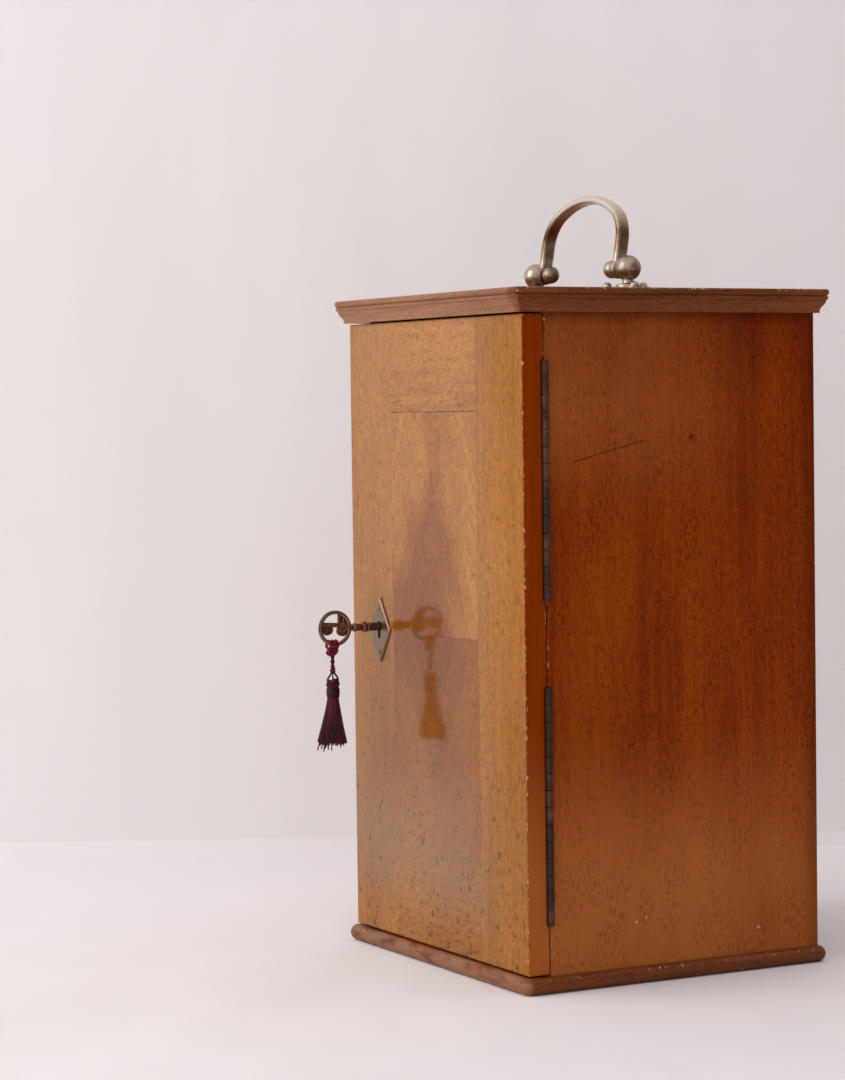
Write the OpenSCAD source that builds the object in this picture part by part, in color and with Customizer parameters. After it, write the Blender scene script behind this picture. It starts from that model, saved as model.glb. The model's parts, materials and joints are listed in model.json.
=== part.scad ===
// Upright mahogany case for a bench microscope. It has a moulded base and top, one overlay door
// on two long strip hinges, a cupboard lock with its key and tassel, and a swinging carrying handle.
// Millimetres, +Z up. The origin is on the underside of the base, below the middle of the body.
// The door faces -Y, its hinges are on the +X side and its lock is near the -X side.

/* [Carcass] */
// Width over the side panels
case_w = 200; // [190:1:240]
// Depth of the side panels, from the door seam to the back
carcass_d = 173; // [160:1:220]
// Thickness of the side panels
side_t = 10; // [9:0.5:12]
// Thickness of the back panel
back_t = 8; // [6:0.5:10]
// Width of the rebate that takes each edge of the back panel
rebate_w = 5; // [4:0.5:6]
// Depth of the tongues at the ends of the side panels
tongue_h = 3; // [2:0.5:4]
// Thickness of those tongues
tongue_t = 4; // [3:0.5:5]

/* [Base and top] */
// Thickness of the base board, whose edge is half round
base_t = 9; // [8:0.5:12]
// Radius of the base board's corners in plan
base_corner_r = 5.5; // [3:0.5:8]
// Thickness of the top board
top_t = 13; // [12:0.5:15]
// How far the foot of the cornice stands out from the body
cornice_foot = 2.6; // [1.5:0.1:3.5]
// How far the nose of the cornice stands out from the body
cornice_nose = 7; // [6:0.5:9]
// Radius of the cornice's corners in plan
cornice_corner_r = 3; // [2:0.5:5]

/* [Door] */
// Height of the door
door_h = 350; // [330:1:420]
// Thickness of the door
door_t = 13; // [12:0.5:16]
// Gap between the closed door and the front edges of the carcass
door_seam = 0.4; // [0.3:0.1:1]
// Gap over and under the door
door_play = 0.8; // [0.5:0.1:1.5]
// Width of the door's upright stiles
stile_w = 50.5; // [46:0.5:60]
// Height of the door's top and bottom rails
rail_h = 51; // [44:1:60]
// Thickness of the centre panel, whose face is flush with the frame
panel_t = 9; // [8:0.5:10]
// Length of the tenons on the rails
tenon_l = 22; // [16:1:28]
// Thickness of the tenons and of the panel's tongue
tenon_t = 4; // [3:0.5:5]
// Depth of the groove that takes the panel's tongue
groove_d = 5; // [4:0.5:7]

/* [Hinges] */
// Length of each strip hinge
hinge_l = 127; // [110:1:130]
// Knuckles on each hinge, alternately of the case and of the door
knuckles = 14; // [10:2:16]
// Diameter of the hinge barrel
barrel_d = 4; // [3.6:0.1:4.4]
// Diameter of the hinge pin
hinge_pin_d = 1.6; // [1.4:0.1:1.8]
// How far the barrel's axis stands outside the side panel
barrel_out = 1; // [0.8:0.1:1.2]
// Thickness of the hinge leaves
leaf_t = 1; // [0.8:0.1:1.2]
// Width of the flat part of each leaf
leaf_w = 8; // [7:0.2:8.4]
// Gap between neighbouring knuckles
knuckle_gap = 0.3; // [0.2:0.05:0.5]
// Height of the lower hinge over the bottom of the door
hinge_low = 26; // [20:1:32]
// Distance of the upper hinge from the top of the door
hinge_high = 24.5; // [20:0.5:32]
// Screws in each hinge leaf
hinge_screws = 5; // [3:1:6]

/* [Lock] */
// Distance of the key from the door's free edge
key_in = 35.5; // [34:0.5:38]
// Height of the key over the bottom of the door
key_up = 176.5; // [150:0.5:200]
// Distance of the lock from the inside face of the side panel
lock_side_gap = 1.5; // [1.3:0.1:2]
// Width of the lock's plate
lock_w = 38; // [37:0.5:40]
// Depth of the lock behind the door
lock_d = 12; // [11:0.5:14]
// Thickness of the lock's plate, cap and strike plate
lock_wall = 1.2; // [1:0.1:1.4]
// Travel of the bolt for a quarter turn of the key
bolt_throw = 6.3; // [6:0.1:6.4]
// Thickness of the bolt
bolt_t = 3.5; // [3:0.1:4]
// Clearance of the bolt in the slots that guide it
bolt_clear = 0.2; // [0.15:0.05:0.3]
// Width of the diamond escutcheon
escutcheon_w = 25; // [22:0.5:28]
// Height of the diamond escutcheon
escutcheon_h = 37.4; // [34:0.2:42]
// Thickness of the escutcheon
escutcheon_t = 1.5; // [1.2:0.1:2]

/* [Key and tassel] */
// Diameter of the key's shank
shank_d = 4.7; // [4.4:0.1:4.9]
// Distance from the door's face to the middle of the key's bow
bow_out = 29.8; // [28:0.2:34]
// Outer diameter of the bow's ring
bow_d = 20.5; // [18:0.5:22]
// Thickness of the bow's ring
bow_wire = 2.1; // [1.8:0.1:2.4]
// Reach of the key's bit from the axis of the shank
bit_reach = 6.3; // [6:0.1:6.5]
// Height of the tassel's head
tassel_head_h = 8.6; // [7:0.2:10]
// Diameter of the tassel's head
tassel_head_d = 7.8; // [7:0.2:9]
// Length of the tassel's skirt
skirt_l = 27; // [22:1:34]
// Diameter of the skirt at its hem
skirt_d = 16.5; // [12:0.5:18]

/* [Handle] */
// Distance between the balls of the handle's posts
post_span = 100.4; // [96:0.2:110]
// Diameter of those balls
ball_d = 14.3; // [13:0.1:15]
// Height of the handle's pivot over the top
pivot_h = 13.1; // [12.6:0.1:15]
// Distance of the handle behind the middle of the body
handle_back = 4; // [0:0.5:10]
// Radius of the bail, from the pivot to the middle of the bar
bail_r = 40.2; // [39.6:0.2:40.6]
// Thickness of the bail's bar, measured away from the pivot
bar_t = 4.5; // [4:0.1:4.8]
// Width of the bail's bar
bar_w = 6; // [5.4:0.1:7]
// How far the bail leans back where it rests
bail_lean = 9.4; // [0:0.2:14]
// Diameter of the handle's pivot pins
pivot_pin_d = 3.8; // [3.2:0.1:4.2]

/* [Fittings inside] */
// Clear width between the rails that hold the instrument's foot
foot_w = 132; // [116:1:140]
// Height of the slot under the lips of the rails
foot_slot_h = 15; // [12:0.5:18]
// Width of each foot rail
foot_rail_w = 15; // [12:0.5:18]
// Length of the rack for the lens cans
rack_l = 90; // [80:1:100]
// Width of that rack
rack_w = 42; // [38:1:46]
// Thickness of that rack
rack_t = 22; // [18:1:26]
// Diameter of the pockets in the rack
pocket_d = 31; // [26:0.5:33]
// Height of the rack over the base board
rack_up = 228; // [200:1:240]

/* [Hidden] */
$fn = 64;
cut = 1;
touch = 0.05;

// Places of the faces
half_w = case_w / 2;
depth = door_t + door_seam + carcass_d;
front_y = -depth / 2;
door_back_y = front_y + door_t;
carcass_y = door_back_y + door_seam;
back_y = depth / 2;
door_z = base_t + door_play;
door_top_z = door_z + door_h;
top_z = door_top_z + door_play;
roof_z = top_z + top_t;
inner_x = half_w - side_t;
inner_back_y = back_y - back_t;

// The door's own grid
stile_x = half_w - stile_w;
panel_z = door_z + rail_h;
panel_h = door_h - 2 * rail_h;
panel_joint_z = panel_z + panel_h / 2;
panel_back_y = front_y + panel_t;
tongue_back_y = panel_back_y - 1;
tenon_inset = 10;

// Ends of the stopped tongues, from the front and the back of the carcass
tongue_front_gap = 12;
tongue_back_gap = 4;

// Hinges
hinge_x = half_w + barrel_out;
hinge_y = (door_back_y + carcass_y) / 2;
barrel_relief = barrel_d / 2 + 0.3;
leaf_x = hinge_x - barrel_relief;
hinge_lower_z = door_z + hinge_low;
hinge_upper_z = door_top_z - hinge_high - hinge_l;
pitch = hinge_l / knuckles;
pin_clear = 0.05;
hinge_screw_x = leaf_x - leaf_w / 2;

// Flat screws, each as the head's diameter, the shank's diameter, the length and the head's height
hinge_screw_size = [4.4, 2.4, 10, leaf_t];
lock_screw_size = [3.6, 2, 9, 1];
strike_screw_size = [4, 2.2, 8, 1];

// Lock and key
key_x = -half_w + key_in;
key_z = door_z + key_up;
bolt_top = 3.2;
bolt_bottom = 14;
bolt_mid_z = key_z - (bolt_top + bolt_bottom) / 2;
lock_x = -inner_x + lock_side_gap;
lock_inner_y = door_back_y + lock_wall;
lock_back_y = door_back_y + lock_d;
bolt_y = lock_inner_y + 2.8;
cap_w = lock_w - 3;
cap_low = bolt_bottom + 3.2;
cap_high = 10;
ear = 8;
bolt_rest_gap = 0.2;
tail_gap = bolt_throw + 2.4;
stud_d = 3;
stud_x = key_x - 5.5;
stud_drop = 10.2;
notch_left = 2.55;
notch_right = 2.05;
notch_depth = bit_reach + 0.45;
lock_screw_in = 4;
groove_wall = 3;
strike_h = 30;
strike_reach = 12;
strike_screw_in = 4.5;
mortise_extra = 2;
keyhole_r = shank_d / 2 + 0.65;
bearing_clear = 0.05;
bit_t = 2.4;
slot_w = bit_t + 0.6;
slot_down = bit_reach + 0.5;
plate_drop = 2;
plate_bevel = 0.7;
plate_taper = 0.9;
plate_pin_d = 1.4;
plate_pin_l = 8;
plate_pin_head_d = 2.6;
plate_pin_in = 6.5;

// Bow of the key: a ring, a cross bar, two scrolls under it and a ribbed web over it. Places
// are measured from the middle of the ring, first towards the door and then up.
bow_y = front_y - bow_out;
ring_r = (bow_d - bow_wire) / 2;
bow_web_t = 1;
bow_bar = [1.7, 2 * ring_r - 0.8, 2.6];
bow_bar_up = 1.85;
bow_bar_tilt = 4;
bow_web_start = 1.9;
bow_rib_w = 1.2;
bow_rib_t = 1.5;
bow_curve_r = 6.3;
scroll_r = 3.1;
scroll_step = 0.8;
scroll_half_turns = 4;
scroll_at = [[4.6, -1.6], [-5, -0.7]];

// Turned neck between the bow and the shank: a small bead, a large one and a collar
key_neck_r = 1.4;
key_neck_l = 12.5;
key_neck_edge = concat(
    [[key_neck_r, 0]], arc(0.9, 4.2, 1.1, -60, 60, 5), arc(1.6, 9.4, 1.6, -70, 50, 8),
    arc(1.75, 11.75, 1, -50, 50, 5));

// Tassel, which hangs from the bow a little outside its lowest point. The cord's points
// are measured from there, and its first turn goes round the ring.
hang_out = 1.8;
hang = [key_x, bow_y - hang_out, key_z - sqrt(ring_r * ring_r - hang_out * hang_out)];
cord_d = 1;
cord_route = [
    [0, 0.7, -2.2], [0.9, 0.7, -1.9], [1.7, 0.6, -1.1], [2, 0.4, 0], [1.6, 0.3, 1.2],
    [0.8, 0.1, 1.9], [0, 0, 2], [-0.8, -0.1, 1.9], [-1.6, -0.3, 1.2], [-2, -0.4, 0],
    [-1.6, -0.6, -1.3], [-0.8, -0.7, -2.2], [-0.2, -0.6, -3.4], [0, -0.4, -5], [0, -0.2, -8],
    [0.1, 0, -11], [0.1, 0, -14], [0, 0, -17], [0, 0, -19.5], [0, 0, -22]
];
tassel_drop = -cord_route[len(cord_route) - 1][2];

// Handle
handle_y = handle_back;
pivot_z = roof_z + pivot_h;
post_x = post_span / 2;
lobe_r = 12;
lobe_d = 8.6;
lobe_arm_w = 6;
post_plate_t = 3;
post_flange_d = 14;
post_flange_t = 1.5;
post_neck_d = 7;
post_neck_curve = 1.6;
eye_t = bar_t;
eye_d = 9.4;
knob_d = 10;
eye_gap = 0.35;
knob_x = bail_r - eye_t / 2 - knob_d / 2 + 0.7;
bar_corner_r = 1.5;
handle_screw_d = 5.4;
handle_screw_rim = 0.5;
handle_screw_slot = 0.7;
handle_screw_shank_d = 2.6;
handle_screw_l = 11;

// Fittings inside
foot_lip_w = 6;
foot_lip_t = 7;
foot_wall = foot_rail_w - foot_lip_w;
foot_rail_h = foot_slot_h + foot_lip_t;
foot_front_y = carcass_y + 12;
foot_stop_t = 20;
foot_stop_gap = 2;
bar_slot_y = foot_front_y + 6;
bar_slot_t = 8;
bar_reach = foot_w / 2 + 4;
bar_clear = 0.4;
bar_rest_gap = 0.2;
bar_grip_r = 22;
bar_grip_depth = 8;
rack_back_gap = 35;
rack_y = inner_back_y - rack_back_gap - rack_l;
rack_z = base_t + rack_up;
pocket_depth = 15;

WOOD = "#8a4a22";
WOOD_PALE = "#b0763c";
WOOD_DARK = "#5e2f17";
NICKEL = "#8d8578";
BRONZE = "#4a3526";
BRASS = "#b08d4a";
STEEL = "#6f6d69";
THREAD = "#4a1420";

// Points along an arc, from angle a to angle b, in the given number of steps
function arc(cx, cy, r, a, b, steps) =
    [for (i = [0:steps]) [cx + r * cos(a + (b - a) * i / steps), cy + r * sin(a + (b - a) * i / steps)]];

// A cross-section that is as wide as a board and has the same moulding on both edges
function both_edges(width, edge) = concat(
    [for (p = edge) [width / 2 + p[0], p[1]]],
    [for (i = [len(edge) - 1:-1:0]) [-width / 2 - edge[i][0], edge[i][1]]]);

// Half-round edge of the base board
base_edge = arc(0, base_t / 2, base_t / 2, -90, 90, 16);

// Cornice from its foot: a fillet, an ogee, a bead, a quirk and a rounded nose
fillet_h = 1;
bead_r = 1.15;
quirk_h = 0.4;
nose_h = 3.2;
nose_r = 1.6;
bead_z = top_t - nose_h - quirk_h - bead_r;
ogee_h = bead_z - bead_r - fillet_h;
ogee_out = cornice_nose - cornice_foot - 1.6;
cornice_edge = concat(
    [[cornice_foot, 0], [cornice_foot, fillet_h]],
    [for (i = [1:10]) [cornice_foot + ogee_out * (1 - cos(18 * i)) / 2, fillet_h + ogee_h * i / 10]],
    arc(cornice_nose - 0.4 - bead_r, bead_z, bead_r, -90, 90, 8),
    [[cornice_nose - 1.4, top_t - nose_h - quirk_h], [cornice_nose - 1.4, top_t - nose_h],
     [cornice_nose - 0.3, top_t - nose_h], [cornice_nose, top_t - nose_h + 0.3]],
    arc(cornice_nose - nose_r, top_t - nose_r, nose_r, 0, 90, 8));

// Board of width w and depth d, with a moulding on its four edges and rounded corners
module moulded_board(w, d, edge, out, corner_r, h) {
    intersection() {
        rotate([90, 0, 0]) linear_extrude(d + 2 * out, center = true) polygon(both_edges(w, edge));
        rotate([90, 0, 90]) linear_extrude(w + 2 * out, center = true) polygon(both_edges(d, edge));
        linear_extrude(h) rounded_rect(w + 2 * out, d + 2 * out, corner_r);
    }
}

// Flat rectangle with rounded corners
module rounded_rect(w, d, r) {
    square([w - 2 * r, d], center = true);
    square([w, d - 2 * r], center = true);
    for (x = [-1, 1], y = [-1, 1]) translate([x * (w / 2 - r), y * (d / 2 - r)]) circle(r);
}

// Box given by its lowest and highest corners
module block(low, high) {
    translate(low) cube(high - low);
}

// Cylinder that lies along Y, from y0 to y1
module rod_y(r, x, z, y0, y1) {
    translate([x, y0, z]) rotate([-90, 0, 0]) cylinder(r = r, h = y1 - y0);
}

// Cylinder that lies along X, from x0 to x1
module rod_x(r, y, z, x0, x1) {
    translate([x0, y, z]) rotate([0, 90, 0]) cylinder(r = r, h = x1 - x0);
}

// Countersunk wood screw along -Z with its flat head at z = 0
module flat_screw(size) {
    head_r = size[0] / 2;
    shank_r = size[1] / 2;
    l = size[2];
    rotate([180, 0, 0]) rotate_extrude()
        polygon([[0, 0], [head_r, 0], [shank_r, size[3]], [shank_r, l - 2 * shank_r], [0, l]]);
}

// Carcass

module base_board() {
    color(WOOD_DARK) difference() {
        moulded_board(case_w, depth, base_edge, base_t / 2, base_corner_r, base_t);
        for (side = [-1, 1]) end_tongue(side, base_t - tongue_h);
    }
}

module top_board() {
    color(WOOD) difference() {
        translate([0, 0, top_z])
            moulded_board(case_w, depth, cornice_edge, cornice_nose, cornice_corner_r, top_t);
        for (side = [-1, 1]) end_tongue(side, top_z);
        handle_screws_at() handle_screw_shank();
    }
}

// Stopped tongue at one end of a side panel
module end_tongue(side, z) {
    x = side * (half_w - side_t / 2);
    block([x - tongue_t / 2, carcass_y + tongue_front_gap, z],
          [x + tongue_t / 2, inner_back_y - tongue_back_gap, z + tongue_h]);
}

module side_body(side) {
    outer = side * half_w;
    inner = side * inner_x;
    rebate_x = side * (half_w - rebate_w);
    difference() {
        union() {
            block([min(outer, inner), carcass_y, base_t], [max(outer, inner), back_y, top_z]);
            end_tongue(side, base_t - tongue_h);
            end_tongue(side, top_z);
        }
        block([min(rebate_x, inner - side), inner_back_y, base_t - cut],
              [max(rebate_x, inner - side), back_y + cut, top_z + cut]);
    }
}

module side_panel_left() {
    color(WOOD) difference() {
        side_body(-1);
        strike_body();
        bolt_mortise();
        strike_screws_at() flat_screw(strike_screw_size);
    }
}

module side_panel_right() {
    color(WOOD) difference() {
        side_body(1);
        for (z = [hinge_lower_z, hinge_upper_z]) {
            hinge_gain(z);
            hinge_screws_at(z, carcass_y) rotate([90, 0, 0]) hinge_screw();
        }
    }
}

module back_panel() {
    color(WOOD) block([-half_w + rebate_w, inner_back_y, base_t], [half_w - rebate_w, back_y, top_z]);
}

// Door

// Pockets that the two leaves of one hinge and its barrel need in the wood
module hinge_gain(z) {
    block([leaf_x - leaf_w, hinge_y - leaf_t - door_seam / 2, z],
          [half_w + cut, hinge_y + leaf_t + door_seam / 2, z + hinge_l]);
    translate([hinge_x, hinge_y, z]) cylinder(r = barrel_relief, h = hinge_l);
}

// Tenon of a rail, on the side given, at height z
module tenon(side, z) {
    x0 = side * stile_x;
    x1 = side * (stile_x + tenon_l);
    mid = front_y + door_t / 2;
    block([min(x0, x1), mid - tenon_t / 2, z + tenon_inset],
          [max(x0, x1), mid + tenon_t / 2, z + rail_h - tenon_inset]);
}

// Centre panel with the tongue round its edge, from height z0 to z1
module panel_body(z0, z1) {
    block([-stile_x, front_y, z0], [stile_x, panel_back_y, z1]);
}

module panel_tongue() {
    block([-stile_x - groove_d, tongue_back_y - tenon_t, panel_z - groove_d],
          [stile_x + groove_d, tongue_back_y, panel_z + panel_h + groove_d]);
}

module stile_body(side) {
    x0 = side * stile_x;
    x1 = side * half_w;
    difference() {
        block([min(x0, x1), front_y, door_z], [max(x0, x1), door_back_y, door_top_z]);
        panel_tongue();
        for (z = [door_z, door_top_z - rail_h]) tenon(side, z);
    }
}

module door_stile_hinge() {
    color(WOOD_PALE) difference() {
        stile_body(1);
        for (z = [hinge_lower_z, hinge_upper_z]) {
            hinge_gain(z);
            hinge_screws_at(z, door_back_y) rotate([-90, 0, 0]) hinge_screw();
        }
    }
}

module door_stile_lock() {
    color(WOOD_PALE) difference() {
        stile_body(-1);
        keyhole(front_y - cut, door_back_y + cut, keyhole_r + 0.2, slot_w + 0.4);
        lock_screws_at() flat_screw(lock_screw_size);
        escutcheon_pins_at() cylinder(d = plate_pin_d, h = plate_pin_l);
    }
}

module rail_body(z) {
    difference() {
        union() {
            block([-stile_x, front_y, z], [stile_x, door_back_y, z + rail_h]);
            for (side = [-1, 1]) tenon(side, z);
        }
        panel_tongue();
    }
}

module door_rail_top() {
    color(WOOD_PALE) rail_body(door_top_z - rail_h);
}

module door_rail_bottom() {
    color(WOOD_PALE) rail_body(door_z);
}

// One half of the centre panel, cut from the whole at the joint
module half_panel(z0, z1) {
    intersection() {
        union() {
            panel_body(panel_z, panel_z + panel_h);
            panel_tongue();
        }
        block([-half_w, front_y, z0], [half_w, door_back_y, z1]);
    }
}

module door_panel_upper() {
    color(WOOD_PALE) half_panel(panel_joint_z, door_top_z);
}

module door_panel_lower() {
    color(WOOD_PALE) half_panel(door_z, panel_joint_z);
}

// Hinges

module hinge_screw() {
    flat_screw(hinge_screw_size);
}

module hinge_screws_at(z, y) {
    for (i = [0:hinge_screws - 1])
        translate([hinge_screw_x, y, z + hinge_l * (i + 0.5) / hinge_screws]) children();
}

// One leaf with every second knuckle. Way is 1 for the case's leaf and -1 for the door's.
module hinge_leaf(z, way, first) {
    face_y = hinge_y + way * door_seam / 2;
    far_y = face_y + way * leaf_t;
    difference() {
        union() {
            block([leaf_x - leaf_w, min(face_y, far_y), z], [leaf_x, max(face_y, far_y), z + hinge_l]);
            for (i = [first:2:knuckles - 1]) {
                z0 = z + i * pitch + knuckle_gap / 2;
                z1 = z + (i + 1) * pitch - knuckle_gap / 2;
                translate([hinge_x, hinge_y, z0]) cylinder(r = barrel_d / 2, h = z1 - z0);
                block([leaf_x - touch, min(face_y, far_y), z0], [hinge_x, max(face_y, far_y), z1]);
            }
        }
        pin_clearance = way > 0 ? 0 : pin_clear;
        translate([hinge_x, hinge_y, z - cut])
            cylinder(r = hinge_pin_d / 2 + pin_clearance, h = hinge_l + 2 * cut);
        hinge_screws_at(z, face_y) rotate([way * 90, 0, 0]) hinge_screw();
    }
}

module hinge_leaf_case_upper() {
    color(BRONZE) hinge_leaf(hinge_upper_z, 1, 0);
}

module hinge_leaf_case_lower() {
    color(BRONZE) hinge_leaf(hinge_lower_z, 1, 0);
}

module hinge_leaf_door_upper() {
    color(BRONZE) hinge_leaf(hinge_upper_z, -1, 1);
}

module hinge_leaf_door_lower() {
    color(BRONZE) hinge_leaf(hinge_lower_z, -1, 1);
}

module hinge_pin(z) {
    translate([hinge_x, hinge_y, z]) cylinder(r = hinge_pin_d / 2, h = hinge_l);
}

module hinge_pin_upper() {
    color(STEEL) hinge_pin(hinge_upper_z);
}

module hinge_pin_lower() {
    color(STEEL) hinge_pin(hinge_lower_z);
}

module hinge_screws_case() {
    color(BRONZE) for (z = [hinge_lower_z, hinge_upper_z])
        hinge_screws_at(z, carcass_y) rotate([90, 0, 0]) hinge_screw();
}

module hinge_screws_door() {
    color(BRONZE) for (z = [hinge_lower_z, hinge_upper_z])
        hinge_screws_at(z, door_back_y) rotate([-90, 0, 0]) hinge_screw();
}

// Lock

// Keyhole, a round hole with a slot below it, from y0 to y1
module keyhole(y0, y1, r, w) {
    rod_y(r, key_x, key_z, y0, y1);
    block([key_x - w / 2, y0, key_z - slot_down - (w - slot_w) / 2], [key_x + w / 2, y1, key_z]);
}

// The screws near the centre panel stay clear of the groove for its tongue
module lock_screws_at() {
    groove_x = -stile_x - groove_d;
    for (x = [lock_x + lock_screw_in, min(lock_x + lock_w - lock_screw_in, groove_x - groove_wall)],
         z = [key_z - cap_low - ear / 2, key_z + cap_high + ear / 2])
        translate([x, lock_inner_y, z]) rotate([-90, 0, 0]) children();
}

module lock_plate() {
    color(BRASS) difference() {
        union() {
            block([lock_x, door_back_y, key_z - cap_low - ear],
                  [lock_x + lock_w, lock_inner_y, key_z + cap_high + ear]);
            rod_y(stud_d / 2, stud_x, key_z - stud_drop, lock_inner_y - touch, bolt_y + bolt_t + 1);
        }
        keyhole(door_back_y - cut, lock_inner_y + cut, shank_d / 2 + bearing_clear, slot_w);
        lock_screws_at() flat_screw(lock_screw_size);
    }
}

module lock_screws() {
    color(BRASS) lock_screws_at() flat_screw(lock_screw_size);
}

module lock_cap() {
    low = [lock_x, lock_inner_y, key_z - cap_low];
    high = [lock_x + cap_w, lock_back_y, key_z + cap_high];
    wall = [lock_wall, 0, lock_wall];
    color(BRASS) difference() {
        block(low, high);
        block(low + wall - [0, cut, 0], high - wall - [0, lock_wall, 0]);
        block([lock_x - cut, bolt_y - bolt_clear, key_z - bolt_bottom - bolt_clear],
              [lock_x + lock_wall + cut, bolt_y + bolt_t + bolt_clear, key_z - bolt_top + bolt_clear]);
        rod_y(shank_d / 2 + bearing_clear, key_x, key_z, lock_back_y - lock_wall - cut, lock_back_y + cut);
    }
}

module lock_bolt() {
    x0 = lock_x + bolt_rest_gap;
    x1 = lock_x + cap_w - lock_wall - 1.6;
    slot_r = stud_d / 2 + bolt_clear / 2;
    slot_z = key_z - stud_drop;
    color(STEEL) difference() {
        block([x0, bolt_y, key_z - bolt_bottom], [x1, bolt_y + bolt_t, key_z - bolt_top]);
        block([key_x - notch_left, bolt_y - cut, key_z - notch_depth],
              [key_x + notch_right, bolt_y + bolt_t + cut, key_z]);
        for (x = [stud_x, stud_x + bolt_throw])
            rod_y(slot_r, x, slot_z, bolt_y - cut, bolt_y + bolt_t + cut);
        block([stud_x, bolt_y - cut, slot_z - slot_r],
              [stud_x + bolt_throw, bolt_y + bolt_t + cut, slot_z + slot_r]);
    }
}

// Bow spring over the bolt, with a straight leg up to the cap
module lock_spring() {
    r = 14;
    strip = 0.6;
    spread = 28;
    mid_x = lock_x + lock_wall + r * sin(spread) + 0.6;
    mid_z = key_z - bolt_top + 0.25 + r;
    leg_x = mid_x + (r - strip) * sin(spread);
    leg_z = mid_z - (r - strip) * cos(spread);
    color(STEEL) translate([0, bolt_y + bolt_t, 0]) rotate([90, 0, 0]) linear_extrude(bolt_t) {
        polygon(concat(
            [for (p = arc(mid_x, mid_z, r, -90 - spread, -90 + spread, 16)) p],
            [for (p = arc(mid_x, mid_z, r - strip, -90 + spread, -90 - spread, 16)) p]));
        translate([leg_x - strip / 2, leg_z - strip / 2])
            square([strip, key_z + cap_high - lock_wall - leg_z + strip / 2]);
    }
}

module bolt_mortise() {
    reach = lock_side_gap - bolt_rest_gap - bolt_throw;
    block([-inner_x + reach - mortise_extra, bolt_y - 2 * bolt_clear, key_z - bolt_bottom - 2 * bolt_clear],
          [-inner_x + cut, bolt_y + bolt_t + 2 * bolt_clear, key_z - bolt_top + 2 * bolt_clear]);
}

module strike_body() {
    block([-inner_x - lock_wall, carcass_y, bolt_mid_z - strike_h / 2],
          [-inner_x, carcass_y + strike_reach, bolt_mid_z + strike_h / 2]);
}

module strike_screws_at() {
    from_middle = strike_h / 2 - strike_screw_in;
    for (side = [-1, 1])
        translate([-inner_x, carcass_y + strike_reach / 2, bolt_mid_z + side * from_middle])
            rotate([0, 90, 0]) children();
}

module strike_plate() {
    color(BRASS) difference() {
        strike_body();
        bolt_mortise();
        strike_screws_at() flat_screw(strike_screw_size);
    }
}

module strike_screws() {
    color(BRASS) strike_screws_at() flat_screw(strike_screw_size);
}

module escutcheon() {
    rim = [[-escutcheon_w / 2, 0], [0, -escutcheon_h / 2], [escutcheon_w / 2, 0], [0, escutcheon_h / 2]];
    color(NICKEL) difference() {
        translate([key_x, front_y, key_z - plate_drop]) rotate([90, 0, 0]) {
            linear_extrude(escutcheon_t - plate_bevel) polygon(rim);
            translate([0, 0, escutcheon_t - plate_bevel])
                linear_extrude(plate_bevel, scale = plate_taper) polygon(rim);
        }
        keyhole(front_y - escutcheon_t - cut, front_y + cut, keyhole_r, slot_w);
        escutcheon_pins_at() cylinder(d = plate_pin_d, h = plate_pin_l);
    }
}

module escutcheon_pins_at() {
    from_middle = escutcheon_h / 2 - plate_pin_in;
    for (side = [-1, 1])
        translate([key_x, front_y - escutcheon_t, key_z - plate_drop + side * from_middle])
            rotate([-90, 0, 0]) children();
}

module escutcheon_pins() {
    head_r = plate_pin_head_d / 2;
    sunk = 0.5;
    color(NICKEL) escutcheon_pins_at() {
        cylinder(d = plate_pin_d, h = plate_pin_l);
        rotate([180, 0, 0]) rotate_extrude()
            polygon(concat([[0, 0]], arc(0, -sunk, head_r, asin(sunk / head_r), 90, 6)));
    }
}

// Key and tassel

// Turns a flat shape into the upright plane of the bow, at a place in it
module in_bow(at) {
    translate([key_x, bow_y + at[0], key_z + at[1]]) rotate([90, 0, 90]) children();
}

// Bar bent to an arc, from angle a through the given sweep. Its section is the child.
module bent_bar(r, a, sweep) {
    rotate([0, 0, a]) rotate_extrude(angle = sweep) translate([r, 0]) children();
}

module bow_rib(r, a, sweep) {
    bent_bar(r, a, sweep) square([bow_rib_w, bow_rib_t], center = true);
}

// Scroll: a thin disc with a rib wound over it, each half turn tighter than the last
module scroll() {
    cylinder(r = scroll_r, h = bow_web_t, center = true);
    for (i = [0:scroll_half_turns - 1])
        translate([-(i % 2) * scroll_step, 0, 0]) bow_rib(scroll_r - i * scroll_step, 180 * i, 180);
}

module key_bow() {
    in_bow([0, 0]) bent_bar(ring_r, 0, 360) circle(d = bow_wire);
    translate([key_x, bow_y, key_z + bow_bar_up]) rotate([-bow_bar_tilt, 0, 0]) cube(bow_bar, center = true);
    in_bow(scroll_at[0]) scroll();
    in_bow(scroll_at[1]) mirror([1, 0, 0]) scroll();
    in_bow([0, 0]) linear_extrude(bow_web_t, center = true) intersection() {
        circle(ring_r);
        translate([bow_web_start, 0]) square(ring_r);
    }
    in_bow([8.9, 4.2]) bow_rib(bow_curve_r, 143, 65);
    in_bow([11.5, 3.6]) bow_rib(bow_curve_r, 146, 60);
}

module key() {
    neck_y = bow_y + ring_r;
    color(BRONZE) {
        key_bow();
        translate([key_x, neck_y, key_z]) rotate([-90, 0, 0]) rotate_extrude()
            polygon(concat([[0, 0]], key_neck_edge, [[0, key_neck_l]]));
        rod_y(shank_d / 2, key_x, key_z, neck_y + key_neck_l - 1, lock_back_y - lock_wall / 2);
        block([key_x - bit_t / 2, bolt_y - 2 * bolt_clear, key_z - bit_reach],
              [key_x + bit_t / 2, bolt_y + bolt_t + 2 * bolt_clear, key_z]);
    }
}

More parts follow.
